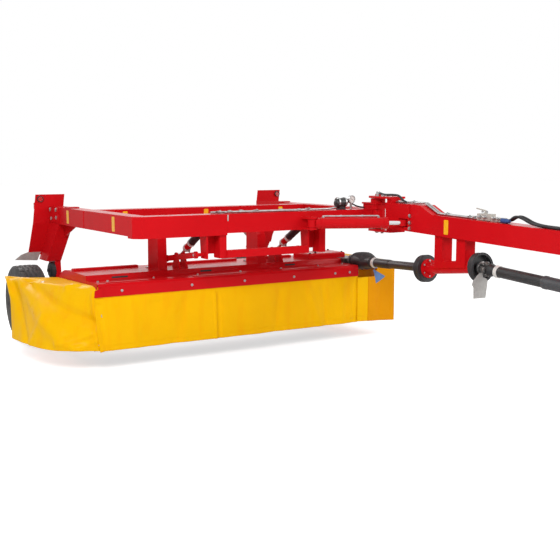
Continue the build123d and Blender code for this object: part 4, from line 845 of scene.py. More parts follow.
def front_surface(across, down):
    """Front curtain between the head's ends, from behind the strip down to its hem."""
    corner = max(0.0, 1 - across / 0.03)
    flare = 0.042 * corner * (1 - down ** 2)
    x = -HALF_HEAD + FRONT_GAP - flare + across * (2 * HALF_HEAD - FRONT_GAP)
    z = FRONT_TOP - down * (FRONT_DROP + 0.004 * corner)
    belly = 0.004 * math.sin(math.pi * down)
    return at(x, 0.0105 - belly - 0.012 * corner, z)


class MOWER_OT_curtain_front(bpy.types.Operator):
    """Hang the front curtain behind the strip"""

    bl_idname = "mower.curtain_front"
    bl_label = "Front curtain"

    def execute(self, context):
        width = 2 * HALF_HEAD - FRONT_GAP
        curtain = Curtain(front_surface, width, FRONT_DROP, FRONT_FOLDS, ripple=0.006, seed=11.0, fade=0.14)
        curtain.make("Curtain_front_cloth", "Yellow canvas", 420, 60, "curtain_front")
        places = [(0.018, 0.42), (0.018, 0.9), (0.985, 0.42), (0.985, 0.9)]
        curtain.eyelets("Curtain_front_eyelets", places)
        return {"FINISHED"}


# Left curtain: upper edges of its front inside and outside the slope beside the drive, which
# starts at SLOPE_X, and the y behind which its top reaches in to the head
INNER_EDGE, OUTER_EDGE = 0.640, 0.775
SLOPE_X, SLOPE_WIDTH = 1.590, 0.066
TOP_NOTCH_Y = 0.645


class MOWER_OT_curtain_left(bpy.types.Operator):
    """Hang the left curtain around the drive input"""

    bl_idname = "mower.curtain_left"
    bl_label = "Left curtain"

    def execute(self, context):
        reach, depth, height = box_at("curtain_left")[1]

        def outer(across, down):
            x = reach - 0.006 + 0.008 * math.sin(math.pi * down) * math.sin(math.pi * across)
            return at(x, across * (depth - 0.01 - 0.06 * down), height - 0.006 - down * (height - 0.19))

        def front(first, last, y):
            def surface(across, down):
                x = first + across * (last - first)
                edge = INNER_EDGE + (OUTER_EDGE - INNER_EDGE) * clamp((x - SLOPE_X) / SLOPE_WIDTH)
                foot = 0.186 - 0.05 * (x - HALF_HEAD)
                return at(x, y, edge + (foot - edge) * down)
            return surface

        def top(across, down):
            y = across * (depth - 0.01)
            inner = HALF_HEAD + (0.276 if y < TOP_NOTCH_Y else 0.004)
            return at(inner + (reach - 0.006 - inner) * down, y, height - 0.004 - 0.006 * math.sin(math.pi * down))

        side = Curtain(outer, 1.05, 0.60, LEFT_SIDE_FOLDS, ripple=0.006, seed=21.0)
        side.make("Curtain_left_side", "Yellow canvas", 110, 60, "curtain_left")
        inner = front(HALF_HEAD - 0.010, 1.530, -0.002)
        inner = Curtain(inner, 0.152, 0.47, [], ripple=0.002, seed=23.0)
        inner.make("Curtain_left_inner", "Yellow canvas", 24, 60)
        panel = front(1.515, reach - 0.004, -0.0055)
        panel = Curtain(panel, reach - 1.519, 0.55, LEFT_FRONT_FOLDS, ripple=0.003, seed=25.0)
        # The front panel takes the more orange copy of the canvas, as painted shade
        panel.make("Curtain_left_front", "Shaded canvas", 56, 60)
        cover = Curtain(top, 1.05, 0.30, [], ripple=0.003, seed=29.0, hem=0)
        cover.make("Curtain_left_top", "Yellow canvas", 105, 40)
        return {"FINISHED"}


# Tyre: points across the tread and round it, half its width as a share, its crown, and the
# grooves as shares of the half width with their own half width and zigzag
TREAD_POINTS, TYRE_STEPS = 26, 264
TREAD_HALF, CROWN = 0.84, 0.010
GROOVES = (-0.52, -0.18, 0.18, 0.52)
GROOVE_HALF, ZIGZAG, SHOULDER = 0.045, 0.035, 0.56


class MOWER_OT_tyres(bpy.types.Operator):
    """Mould both tyres with their treads"""

    bl_idname = "mower.tyres"
    bl_label = "Tyres"

    def execute(self, context):
        for side in ("right", "left"):
            self.tyre(side)
        return {"FINISHED"}

    def tyre(self, side):
        """Tyre as a ring of sections, each with ribs cut by zigzag grooves."""
        low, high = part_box(f"tyre_{side}")
        centre = (low + high) / 2
        radius = (high.z - low.z) / 2
        half = (high.x - low.x) / 2
        depth = looks().tread_depth
        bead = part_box(f"rim_{side}")[1].z - centre.z
        # From the bead over the wall to the shoulder: share of half width, radius
        wall = [
            (0.84, bead + 0.001), (0.93, bead + 0.018), (1.0, bead + 0.06), (1.0, bead + 0.10),
            (0.985, radius - 0.055), (0.955, radius - 0.032), (0.90, radius - 0.016),
        ]
        section = [(-half * share, height, 0.0) for share, height in wall]
        for place in range(TREAD_POINTS + 1):
            share = -TREAD_HALF + 2 * TREAD_HALF * place / TREAD_POINTS
            section.append((half * share, radius - CROWN * share ** 4, 1.0))
        section += [(half * share, height, 0.0) for share, height in reversed(wall)]
        count = len(section)
        points, faces = [], []
        for step in range(TYRE_STEPS):
            angle = 2 * math.pi * step / TYRE_STEPS
            first, after = step * count, (step + 1) % TYRE_STEPS * count
            for place, (offset, height, worked) in enumerate(section):
                height -= worked * depth * self.groove(offset / half, step)
                points.append(centre + Vector((offset, math.cos(angle) * height, math.sin(angle) * height)))
                beside = (place + 1) % count
                faces.append((first + place, first + beside, after + beside, after + place))
        made = Shape().add(points, faces).make(f"Tyre_{side}", "Tyre rubber", f"wheel_{side}", sharp=30)
        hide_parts(f"tyre_{side}")

    def groove(self, across, step):
        """One where the tread is cut, nought on its blocks."""
        zigzag = ZIGZAG * (1 if (step // 6) % 2 else -1)
        if any(abs(across - line - zigzag) < GROOVE_HALF for line in GROOVES):
            return 1.0
        return 0.9 if abs(across) > SHOULDER and step % 12 < 3 else 0.0


class MOWER_OT_wheels(bpy.types.Operator):
    """Bolt the rims and close their hubs"""

    bl_idname = "mower.wheels"
    bl_label = "Wheel fittings"

    def execute(self, context):
        # The rim's disc is dished, so the nuts of the two sides sit at their own distances
        for side, way, seat_x in (("right", -1, -0.016), ("left", 1, -0.004)):
            low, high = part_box(f"rim_{side}")
            centre = (low + high) / 2
            shape = Shape()
            for turn in sixths():
                seat = (centre.x + seat_x, centre.y + 0.079 * math.cos(turn), centre.z + 0.079 * math.sin(turn))
                shape.bolt(seat, (way, 0, 0), 0.0075)
            cap = mm((0, 55), (4, 57), (10, 50), (16, 44), (18, 30), (19, 0))
            shape.turned((centre.x + way * 0.080, centre.y, centre.z), (way, 0, 0), cap, 40)
            valve = mm((0, 5), (35, 5), (36, 6.5), (46, 6), (47, 0))
            shape.turned((centre.x + way * 0.030, centre.y, centre.z + 0.150), (way, 0, -0.35), valve, 12)
            shape.make(f"Wheel_{side}_nuts", "Zinc plate", f"wheel_{side}")
        return {"FINISHED"}


BAR_LOW, BAR_HIGH = box_at("drawbar_beam")
# Rows of bolts: piece, body, size as a share of the main bolts', seats with the way out of each
BOLTS = (
    ("Leg_bolts", "frame", 1.15, [
        ((face, y, z), way) for face, way in ((RIGHT_FACE, RIGHT), (LEFT_FACE, LEFT))
        for y, z in ((1.845, 1.322), (1.815, 1.232), (1.655, 1.248), (1.665, 1.326))
    ]),
    ("Flange_bolts", "drawbar", 0.95, [
        ((x, -0.898, z), FRONT) for x in (BAR_LOW.x + 0.006, BAR_HIGH.x - 0.006) for z in (1.316, 1.252, 1.200)
    ]),
    ("Swivel_bolts", "drawbar", 0.95, [
        ((x, y, z), way) for x in (1.318, 1.454) for y in (-0.385, -0.465)
        for z, way in ((1.480, UP), (1.140, DOWN))
    ]),
    ("Deck_bolts", "head", 0.62, [
        *(((x, 0.0, 0.702), FRONT) for x in (-1.173, -0.496, 0.055, 0.608, 1.10, 1.279)),
        *(((x, 0.16, STRIP_TOP), UP) for x in (-1.33, -1.24, -0.80, -0.357, 0.10, 0.559, 1.00, 1.30)),
    ]),
    ("Post_bolts", "head", 0.7, [
        *(((x, y, DECK_TOP), UP) for x in (-0.670, -0.610, 0.400, 0.460) for y in (0.560, 0.602)),
        *(((x, 0.74, DECK_TOP), UP) for x in (-1.30, -1.05, -0.35, 0.15, 0.85)),
    ]),
    ("Cone_bolts", "drawbar", 0.5, [
        ((BAR_X + 0.071 * math.cos(turn), y, z + 0.071 * math.sin(turn)), (0, -way, 0.11 * way))
        for y, z, way in ((-1.078, 0.842, 1), (-1.672, 0.910, -1)) for turn in sixths(30)
    ]),
    ("Low_link_pins", "links_low", 0.9, [
        ((x, y, z), RIGHT) for x in (-0.590, 0.480) for y, z in ((-0.245, 1.000), (0.360, 0.916))
    ]),
    ("Side_plate_bolts", "head", 0.7, [
        ((way[0] * 1.3885, y, z), way) for way in (RIGHT, LEFT)
        for y, z in ((1.135, 0.50), (1.135, 0.32), (0.30, 0.62), (0.95, 0.70))
    ]),
)


class MOWER_OT_fasteners(bpy.types.Operator):
    """Bolt the legs, flanges, swivel, deck, cones and links together"""

    bl_idname = "mower.fasteners"
    bl_label = "Fasteners"

    def execute(self, context):
        size = looks().bolt_size
        for name, body, share, rows in BOLTS:
            shape = Shape()
            for seat, outward in rows:
                shape.bolt(at(seat), outward, size * share)
            shape.make(name, "Zinc plate", body)
        return {"FINISHED"}


# Weld beads on the frame: radius, then the places along them
WELDS = (
    *((0.004, (x, 0.885, 1.190), (x, 0.885, 1.348)) for x in (-1.18, -1.03)),
    *((0.004, (x, 1.602, 1.190), (x, 1.602, 1.180)) for x in (1.311, 1.461)),
    *((0.004, (x + 0.004, y, 1.184), (x + 0.196, y, 1.184)) for x in (-0.603, 0.462) for y in (-0.312, -0.180)),
    *((0.0035, (x, -0.325, 0.968), (x, -0.325, 1.032), (x, -0.283, 1.032)) for x in (-0.303, 0.558)),
)
# Folded lips at the boards' feet, in grey metal as a painted reflection on their bent edges: outlines in x and z
BOARD_LIPS = (
    [(-1.535, 0.806), (-1.470, 0.856), (-1.400, 0.880), (-1.262, 0.880), (-1.300, 0.790)],
    [(1.158, 0.994), (1.308, 0.844), (1.340, 0.900), (1.340, 0.990)],
)


class MOWER_OT_frame_fittings(bpy.types.Operator):
    """Add splice plates, gussets, welds, lamp bezels, black caps on the leg pivots as painted shade, grey board
    lips as a painted reflection, and tail lamps
    """

    bl_idname = "mower.frame_fittings"
    bl_label = "Frame fittings"

    def execute(self, context):
        plates = Shape()
        for node, way in (("side_beam_right", -1), ("side_beam_left", 1)):
            low, high = box_at(node)
            # Splice plate on the outer face, gusset under the beam and lug on its top
            start = high.x if way > 0 else low.x - 0.008
            plates.prism(oblong(1.60, 1.196, 1.89, 1.344), at(start, 0, 0), REAR, UP, 0.008)
            middle = (low.x + high.x) / 2
            gusset = [(1.28, low.z), (1.66, low.z), (1.66, 1.045)]
            plates.prism(gusset, at(middle - 0.006, 0, 0), REAR, UP, 0.012)
            plates.prism(oblong(-0.060, -0.055, 0.060, 0.055), at(middle, 1.42, 1.355), LEFT, REAR, 0.010)
        plates.make("Leg_plates", "Red paint", "frame", bevel=0.003)
        welds = Shape()
        for radius, *places in WELDS:
            welds.pipe(path(*places), radius, sides=8)
        welds.make("Frame_welds", "Red paint", "frame")
        bezels = Shape()
        rim = mm((-12, 28), (-12, 33), (4, 32), (7, 29), (4, 26.2), (-12, 26.2))
        for x in (-1.273, 1.595):
            bezels.turned(at(x, 1.886, 1.430), FRONT, rim, 40)
        bezels.make("Lamp_bezels", "Black plastic", "frame")
        # Black rubber caps with a bolt on the legs' lower pivots: painted shade, standing in for the shaded red
        # pivot plates
        shade_caps = Shape()
        cap = mm((-2, 78), (10, 84), (38, 82), (46, 70), (48, 30), (50, 0))
        for x in (-1.185, 1.306):
            shade_caps.turned(at(x, 1.80, 0.700), RIGHT, cap, 48)
            shade_caps.bolt(at(x - 0.0495, 1.80, 0.700), RIGHT, 0.012)
        shade_caps.make("Leg_shade_caps", "Boot rubber", "frame")
        # The lips are grey metal: a painted reflection on the boards' red bent edges
        lips = Shape()
        for outline in BOARD_LIPS:
            lips.prism(outline, at(0, 1.975, 0), LEFT, UP, 0.003)
        lips.make("Board_lips_painted_reflection", "Bare tag", "frame")
        tails = Shape()
        for x in (-1.285, 1.560):
            for z, half in ((1.36, 0.050), (1.26, 0.036)):
                tails.prism(oblong(-half, -0.035, half, 0.035), at(x, 1.9083, z), RIGHT, UP, 0.022)
        tails.make("Tail_lamps", "Lamp glass", "frame", bevel=0.006)
        return {"FINISHED"}


# Deck rails: section in y and z, then the x ranges in which it runs
DECK_RAILS = (
    ([(0.690, DECK_TOP), (0.690, 0.826), (0.700, 0.832), (0.745, 0.832), (0.755, 0.826), (0.755, DECK_TOP)],
     ((-1.36, -0.72), (-0.50, 0.36), (0.52, 1.02))),
    ([(0.052, STRIP_TOP), (0.052, 0.774), (0.090, 0.774), (0.090, STRIP_TOP)],
     ((-1.30, -0.55), (-0.45, 0.40), (0.50, 1.00))),
)
# Discs: the y of their row, the bolt circle of their caps, and the blade bolts' reach and height
DISC_Y, CAP_CIRCLE, BLADE_REACH, BLADE_Z = 0.315, 0.030, 0.168, 0.230


class MOWER_OT_head_fittings(bpy.types.Operator):
    """Add the deck's rails, black sheets in its slots as painted shade, cover knob, disc caps and gearbox ribs"""

    bl_idname = "mower.head_fittings"
    bl_label = "Head fittings"

    def execute(self, context):
        rails = Shape()
        for section, runs in DECK_RAILS:
            for start, end in runs:
                rails.prism(section, at(start, 0, 0), REAR, UP, end - start)
        corner = [(-1.350, 0.656), (-1.432, 0.656), (-1.424, 0.718), (-1.350, 0.744)]
        rails.prism(corner, at(0, -0.0095, 0), LEFT, UP, 0.003)
        rails.make("Deck_rails", "Red paint", "head", bevel=0.002)
        # Thin black sheets laid in the deck's slots: painted shade of the slots' dark insides
        slots = Shape()
        for x, half in ((-1.071, 0.0775), (-0.20, 0.06), (0.75, 0.06)):
            slots.prism(oblong(-half, 0.0, half, 0.036), at(x, 0.2935, 0.774), LEFT, (0, 0.42, 1), 0.003)
        slots.make("Deck_slot_shade", "Boot rubber", "head", bevel=0.001)
        knob = Shape()
        profile = mm((0, 12), (12, 10), (14, 24), (26, 27), (36, 22), (40, 0))
        knob.turned(at(1.18, 0.47, COVER_TOP), UP, profile, 28)
        for x in (1.075, 1.478):
            for y in (0.415, 0.665):
                knob.bolt(at(x, y, COVER_TOP), UP, 0.006)
        knob.make("Cover_knob", "Boot rubber", "head")
        loop = path((1.24, 0.60, COVER_TOP), (1.24, 0.60, 0.892), (1.36, 0.60, 0.892), (1.36, 0.60, COVER_TOP))
        Shape().pipe(loop, 0.006, 0.015).make("Cover_handle", "Zinc plate", "head")
        for number in range(1, 8):
            self.disc_cap(number)
        self.gearbox()
        bar = Shape()
        for step in range(6):
            for y in (0.20, 0.40):
                bar.bolt(at(-0.915 + 0.366 * step, y, 0.205), UP, 0.009)
        bar.make("Bar_bolts", "Zinc plate", "head")
        return {"FINISHED"}

    def disc_cap(self, number):
        """Cap in a disc's middle with its bolts, and the two blades' bolts."""
        low, high = box_at(f"disc_{number}")
        x = (low.x + high.x) / 2
        cap = Shape().turned(at(x, DISC_Y, high.z), UP, mm((0, 40), (4, 41), (7, 36), (10, 0)), 32)
        for turn in sixths():
            across, back = CAP_CIRCLE * math.cos(turn), CAP_CIRCLE * math.sin(turn)
            cap.bolt(at(x + across, DISC_Y + back, high.z + 0.0055), UP, 0.0035)
        # Blades of neighbouring discs stand at right angles
        for reach in (-BLADE_REACH, BLADE_REACH):
            across, back = (reach, 0) if number % 2 == 0 else (0, reach)
            cap.bolt(at(x + across, DISC_Y + back, BLADE_Z), UP, 0.009)
        cap.make(f"Disc_{number}_cap", "Zinc plate", f"disc_{number}_body")

    def gearbox(self):
        """Ribs, filler plug and input seal of the gearbox."""
        low, high = box_at("gearbox")
        ribs = Shape()
        rib = [(0.0, 0.660), (0.010, 0.664), (0.010, 0.790), (0.0, 0.796)]
        for step in range(7):
            ribs.prism(rib, at(1.5885, 0.330 + 0.036 * step, 0), LEFT, UP, -0.007)
        plug = mm((0, 18), (8, 17), (8, 12), (16, 12), (18, 10), (18, 0))
        ribs.turned(at(high.x, 0.200, 0.700), LEFT, plug, 6)
        seal = mm((0, 62), (14, 60), (20, 52), (20, 0))
        ribs.turned(at(INPUT_X, low.y + 0.132, INPUT_Z), FRONT, seal, 40)
        ribs.make("Gearbox_ribs", "Worn steel", "head", bevel=0.001)


# Swing ram: its foot and eye pins, its barrel's share of the way between them, and its pipe's radius
SWING_FOOT, SWING_EYE = Vector((0.530, -0.425, 1.247)), Vector((1.300, -0.800, 1.247))
BARREL_SHARE = 0.83
SWING_PIPE = 0.0075
# Lift rams: their x, their ends at any x, and their barrels' radius in millimetres
LIFT_XS = (-0.405, 0.660)
LIFT_TOP, LIFT_LOW = Vector((0, -0.112, 1.240)), Vector((0, 0.430, 0.925))
LIFT_RADIUS = 32.5


class MOWER_OT_rams(bpy.types.Operator):
    """Dress the swing ram and the lift rams with glands, ports and pipes"""

    bl_idname = "mower.rams"
    bl_label = "Ram fittings"

    def execute(self, context):
        self.swing_ram()
        self.lift_rams()
        return {"FINISHED"}

    def swing_ram(self):
        """Gland, foot ring, pressure pipe and eye of the swing ram."""
        along = (SWING_EYE - SWING_FOOT).normalized()
        reach = (SWING_EYE - SWING_FOOT).length * BARREL_SHARE

        def beside(distance, up=0.0):
            return at(SWING_FOOT + along * distance + Vector((0, 0, up)))

        head = mm((0, 50.5), (2, 56), (40, 56), (46, 50), (46, 21.5))
        gland = Shape().turned(beside(reach - 0.045), along, head, 44)
        gland.turned(beside(0.075), along, sleeve(50.5, 55, 28, 2), 44)
        gland.make("Swing_gland", "Red paint", "swing_ram_barrel", bevel=0.001)
        foot_port, head_port = ports = (0.10, reach - 0.09)
        low, top = 0.050, 0.066
        route = [beside(foot_port, low), beside(foot_port, top), beside(head_port, top), beside(head_port, low)]
        line = Shape().pipe(route, SWING_PIPE, 0.02)
        for distance in ports:
            line.turned(beside(distance, 0.049), UP, mm((0, 15), (10, 15), (10, 11), (18, 11), (18, 7.6)), 6)
        for distance in (0.26, 0.46):
            line.turned(beside(distance, top), along, stepped((16, 10.5), bore=7.6), 16)
        line.make("Swing_line", "Zinc plate", "swing_ram_barrel")
        shell = Shape().turned(at(1.300, -0.800, 1.2165), UP, stepped((61, 38.8), bore=24.0), 40)
        shell.make("Swing_eye", "Red paint", "swing_ram_rod")

    def lift_rams(self):
        """Sleeves, collars and ports of both lift rams."""
        down = (LIFT_LOW - LIFT_TOP).normalized()

        def along(x, distance):
            return at(x, *(LIFT_TOP + down * distance).yz)

        sleeves, collars, ports = Shape(), Shape(), Shape()
        port = mm((30, 12), (48, 12), (50, 8), (60, 8), (60, 0))
        for x in LIFT_XS:
            sleeves.turned(along(x, 0.10), down, sleeve(LIFT_RADIUS, 36.5, 228, 3), 36)
            for distance in (0.075, 0.335, 0.440):
                collars.turned(along(x, distance), down, sleeve(LIFT_RADIUS, 38.5, 23, 1), 36)
            for distance in (0.085, 0.425):
                ports.turned(along(x, distance), (0, -0.50, -0.86), port, 6)
        sleeves.make("Lift_sleeves", "Black plastic", "lift_ram_barrels")
        collars.make("Lift_collars", "White collar", "lift_ram_barrels")
        ports.make("Lift_ports", "Zinc plate", "lift_ram_barrels")


# Pipes on the front beam lie at this height
PIPE_Z = 1.364
FRAME_PIPES = (
    ((-0.40, -0.190, PIPE_Z), (0.30, -0.215, PIPE_Z), (0.86, -0.235, PIPE_Z), (0.93, -0.245, PIPE_Z + 0.014)),
    ((-0.28, -0.222, PIPE_Z), (0.28, -0.250, PIPE_Z), (0.50, -0.300, PIPE_Z)),
)
PIPE_UNIONS = ((-0.245, -0.2235), (-0.115, -0.200), (0.455, -0.289), (0.30, -0.215))
# Accumulator's axis and the gauge's middle
BOTTLE_Y, BOTTLE_Z = -0.245, 1.424
GAUGE_X, GAUGE_Z = 1.104, 1.450
# Hoses off the beam's top: control points from fitting to fitting
SWIVEL_ROUTE = [
    (1.330, -0.800, 1.4375), (1.330, -0.745, 1.452), (1.330, -0.700, 1.496), (1.332, -0.600, 1.500),
    (1.345, -0.480, 1.4955), (1.375, -0.400, 1.4960), (1.384, -0.342, 1.5060),
]
BOTTLE_ROUTE = [
    (1.055, -0.245, 1.425), (1.10, -0.215, 1.425), (1.16, -0.200, 1.400), (1.22, -0.205, 1.372),
    (1.290, -0.215, 1.3655),
]
# Valve block: plugs on its side, ports on its top, and the pipes' clips along the drawbar
SIDE_PLUGS = ((-1.74, 1.350), (-1.80, 1.350), (-1.90, 1.345), (-1.95, 1.345))
TOP_PORTS = (-1.73, -1.78)
BAR_CLIPS = ((-0.85, 1.425), (-1.30, 1.336), (-1.58, 1.3255))
# Drawbar hoses: x of their fittings, and how far to the side each lies between them
HOSE_XS = (1.373, 1.399)
HOSE_ASIDE = (-0.016, 0.0)


def hose(name, route, radius, body):
    """Rubber hose as a smooth curve through the route's control points."""
    curve = bpy.data.curves.new(name, "CURVE")
    curve.dimensions = "3D"
    curve.bevel_depth = radius
    curve.bevel_resolution = 5
    curve.resolution_u = 10
    curve.use_fill_caps = True
    line = curve.splines.new("NURBS")
    line.points.add(len(route) - 1)
    for knot, place in zip(line.points, route):
        knot.co = (*at(place), 1)
    line.order_u = 3
    line.use_endpoint_u = True
    return ride(linked(name, curve, "Boot rubber"), body)


class MOWER_OT_hydraulics(bpy.types.Operator):
    """Lay the pipes and hoses, and dress the valve block, accumulator and gauge"""

    bl_idname = "mower.hydraulics"
    bl_label = "Hydraulics"

    def execute(self, context):
        self.frame_pipes()
        self.gauge()
        self.valve()
        self.hoses()
        return {"FINISHED"}

    def frame_pipes(self):
        """Pipes, unions and clips on the front beam, and the accumulator's straps."""
        lines = Shape()
        for places in FRAME_PIPES:
            lines.pipe(path(*places), 0.009, 0.05)
        for x, y in PIPE_UNIONS:
            lines.turned(at(x, y, PIPE_Z), (1, -0.04, 0), stepped((30, 17.5), (46, 13), bore=9.2), 6)
        for x in (-0.33, 0.05, 0.62):
            lines.prism(oblong(-0.020, -0.040, 0.020, 0.018), at(x, -0.212, PIPE_Z + 0.009), LEFT, REAR, 0.003)
            lines.bolt(at(x, -0.240, PIPE_Z + 0.012), UP, 0.005)
        lines.make("Frame_pipes", "Zinc plate", "frame")
        bottle = Shape()
        for x in (0.938, 1.014):
            bottle.turned(at(x, BOTTLE_Y, BOTTLE_Z), LEFT, stepped((16, 47.5), bore=44.5), 40)
        bottle.prism(oblong(-0.020, 0.0, 0.020, 0.030), at(0.985, -0.232, 1.354), LEFT, UP, 0.020)
        bottle.make("Bottle_straps", "Zinc plate", "frame", bevel=0.001)

    def gauge(self):
        """Bezel, face, scale and needle of the pressure gauge."""
        bezel = mm((-4, 36.2), (-4, 38.5), (6, 38.5), (8, 36), (6, 33.5), (1, 33))
        Shape().turned(at(GAUGE_X, -0.260, GAUGE_Z), FRONT, bezel, 48).make("Gauge_bezel", "Zinc plate", "frame")
        face = Shape().turned(at(GAUGE_X, -0.2604, GAUGE_Z), FRONT, mm((0, 32.5), (1.6, 32.5)), 40)
        face.make("Gauge_face", "White collar", "frame")
        marks = Shape()
        for step in range(11):
            angle = math.radians(225 - 27 * step)
            out = Vector((math.cos(angle), 0, math.sin(angle)))
            foot = at(GAUGE_X, -0.2622, GAUGE_Z) + out * 0.022
            marks.prism(oblong(-0.0008, 0, 0.0008, 0.007), foot, (out.z, 0, -out.x), out, 0.0004)
        out = Vector((math.cos(2.6), 0, math.sin(2.6)))
        needle = mm((-2.2, -6), (2.2, -6), (0.4, 24), (-0.4, 24))
        marks.prism(needle, at(GAUGE_X, -0.2624, GAUGE_Z), (out.z, 0, -out.x), out, 0.0008)
        marks.make("Gauge_marks", "Black plastic", "frame")

    def valve(self):
        """Plugs, nuts and clips of the valve block, its blue cap and the swivel's union."""
        valve = Shape()
        plug = mm((0, 16), (12, 16), (12, 11), (26, 11), (28, 8), (28, 0))
        for y, z in SIDE_PLUGS:
            valve.turned(at(1.3515, y, z), RIGHT, plug, 6)
        for y in TOP_PORTS:
            valve.turned(at(BAR_X, y, 1.384), UP, stepped((10, 12), (18, 9)), 6)
        for x in (1.371, 1.401):
            valve.turned(at(x, -1.640, 1.338), FRONT, stepped((20, 15.5), bore=9.2), 6)
            valve.turned(at(x, -0.640, 1.434), FRONT, stepped((22, 15.5), bore=9.2), 6)
        for x in HOSE_XS:
            valve.turned(at(x, VALVE_FRONT, 1.328), FRONT, stepped((18, 16.5), (40, 14), bore=11.5), 12)
        for y, z in BAR_CLIPS:
            valve.prism(oblong(-0.040, -0.012, 0.040, 0.012), at(BAR_X, y, z + 0.0195), LEFT, REAR, 0.003)
            valve.bolt(at(BAR_X, y, z + 0.0225), UP, 0.005)
        valve.make("Valve_fittings", "Zinc plate", "drawbar")
        cap = mm((0, 14), (4, 19.5), (60, 19.5), (66, 16), (92, 15), (96, 0))
        Shape().turned(at(1.332, -2.00, 1.333), (0, -1, -0.04), cap, 28).make("Blue_caps", "Blue cap", "drawbar")
        union = mm((0, 30), (6, 30), (6, 19), (26, 19), (26, 13), (32, 11), (32, 0))
        Shape().turned(at(BAR_X, -0.31, 1.4945), UP, union, 24).make("Swivel_union", "Zinc plate", "drawbar")

    def hoses(self):
        """Drawbar hoses with their couplings, swivel hose and bottle hose."""
        end = mm((-30, 11.3), (-30, 12.5), (30, 12.2), (34, 9.5), (55, 9.5), (55, 0))
        for number, (x, aside) in enumerate(zip(HOSE_XS, HOSE_ASIDE), 1):
            beside = x + aside
            route = [
                (x, VALVE_FRONT, 1.3277), (x, -2.050, 1.3270), (beside, -2.115, 1.370), (beside, -2.185, 1.368),
                (beside, -2.320, 1.3100), (beside, -2.60, 1.3000), (x, -3.10, 1.2810), (x, -3.500, 1.2660),
            ]
            made = hose(f"Drawbar_hose_{number}", route, 0.011, "drawbar")
            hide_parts("hydraulic_hoses")
            coupling = Shape().turned(at(x, -3.500, 1.2665), (0, -1, -0.037), end, 20)
            coupling = coupling.make(f"Hose_coupling_{number}", "Zinc plate", "drawbar")
        for name, route, length, diameter, body in (
            ("Swivel_hose", SWIVEL_ROUTE, 0.49, 0.021, "drawbar"),
            ("Bottle_hose", BOTTLE_ROUTE, 0.25, 0.015, "frame"),
        ):
            hose(name, route, diameter / 2, body)


# Rear shaft between the joint and the gearbox's input; front shaft between the joint and the yoke
REAR_START, REAR_TARGET = Vector((BAR_X, -0.976, 0.840)), Vector((INPUT_X, 0.250, INPUT_Z))
SHAFT_FIRST, SHAFT_LAST = Vector((BAR_X, -1.724, 0.912)), Vector((BAR_X, -3.560, 0.794))
# Guard cones: middle of each base and the way out of it
CONES = (
    (Vector((BAR_X, -1.06, 0.84)), Vector((0, 0.9935, -0.1135))),
    (Vector((BAR_X, -1.69, 0.912)), Vector((0, -0.9935, 0.1135))),
)
TUBE_BORE = 40.5
FRONT_TAG = [
    (-0.074, -0.108), (0.082, -0.118), (0.098, 0.026), (0.074, 0.052), (0.034, 0.064), (0.024, 0.100),
    (-0.008, 0.106), (-0.034, 0.092), (-0.092, 0.044), (-0.104, 0.012), (-0.082, -0.010),
]
REAR_TAG = [(-0.010, 0.030), (0.020, 0.022), (0.160, -0.048), (0.136, -0.064), (0.040, -0.112), (0.022, -0.050)]


def shaft_ring(radius):
    """Rounded ring round a shaft's guard tube."""
    return mm((0, TUBE_BORE), (0, 50), (3, radius), (34, radius), (37, 50), (37, TUBE_BORE))


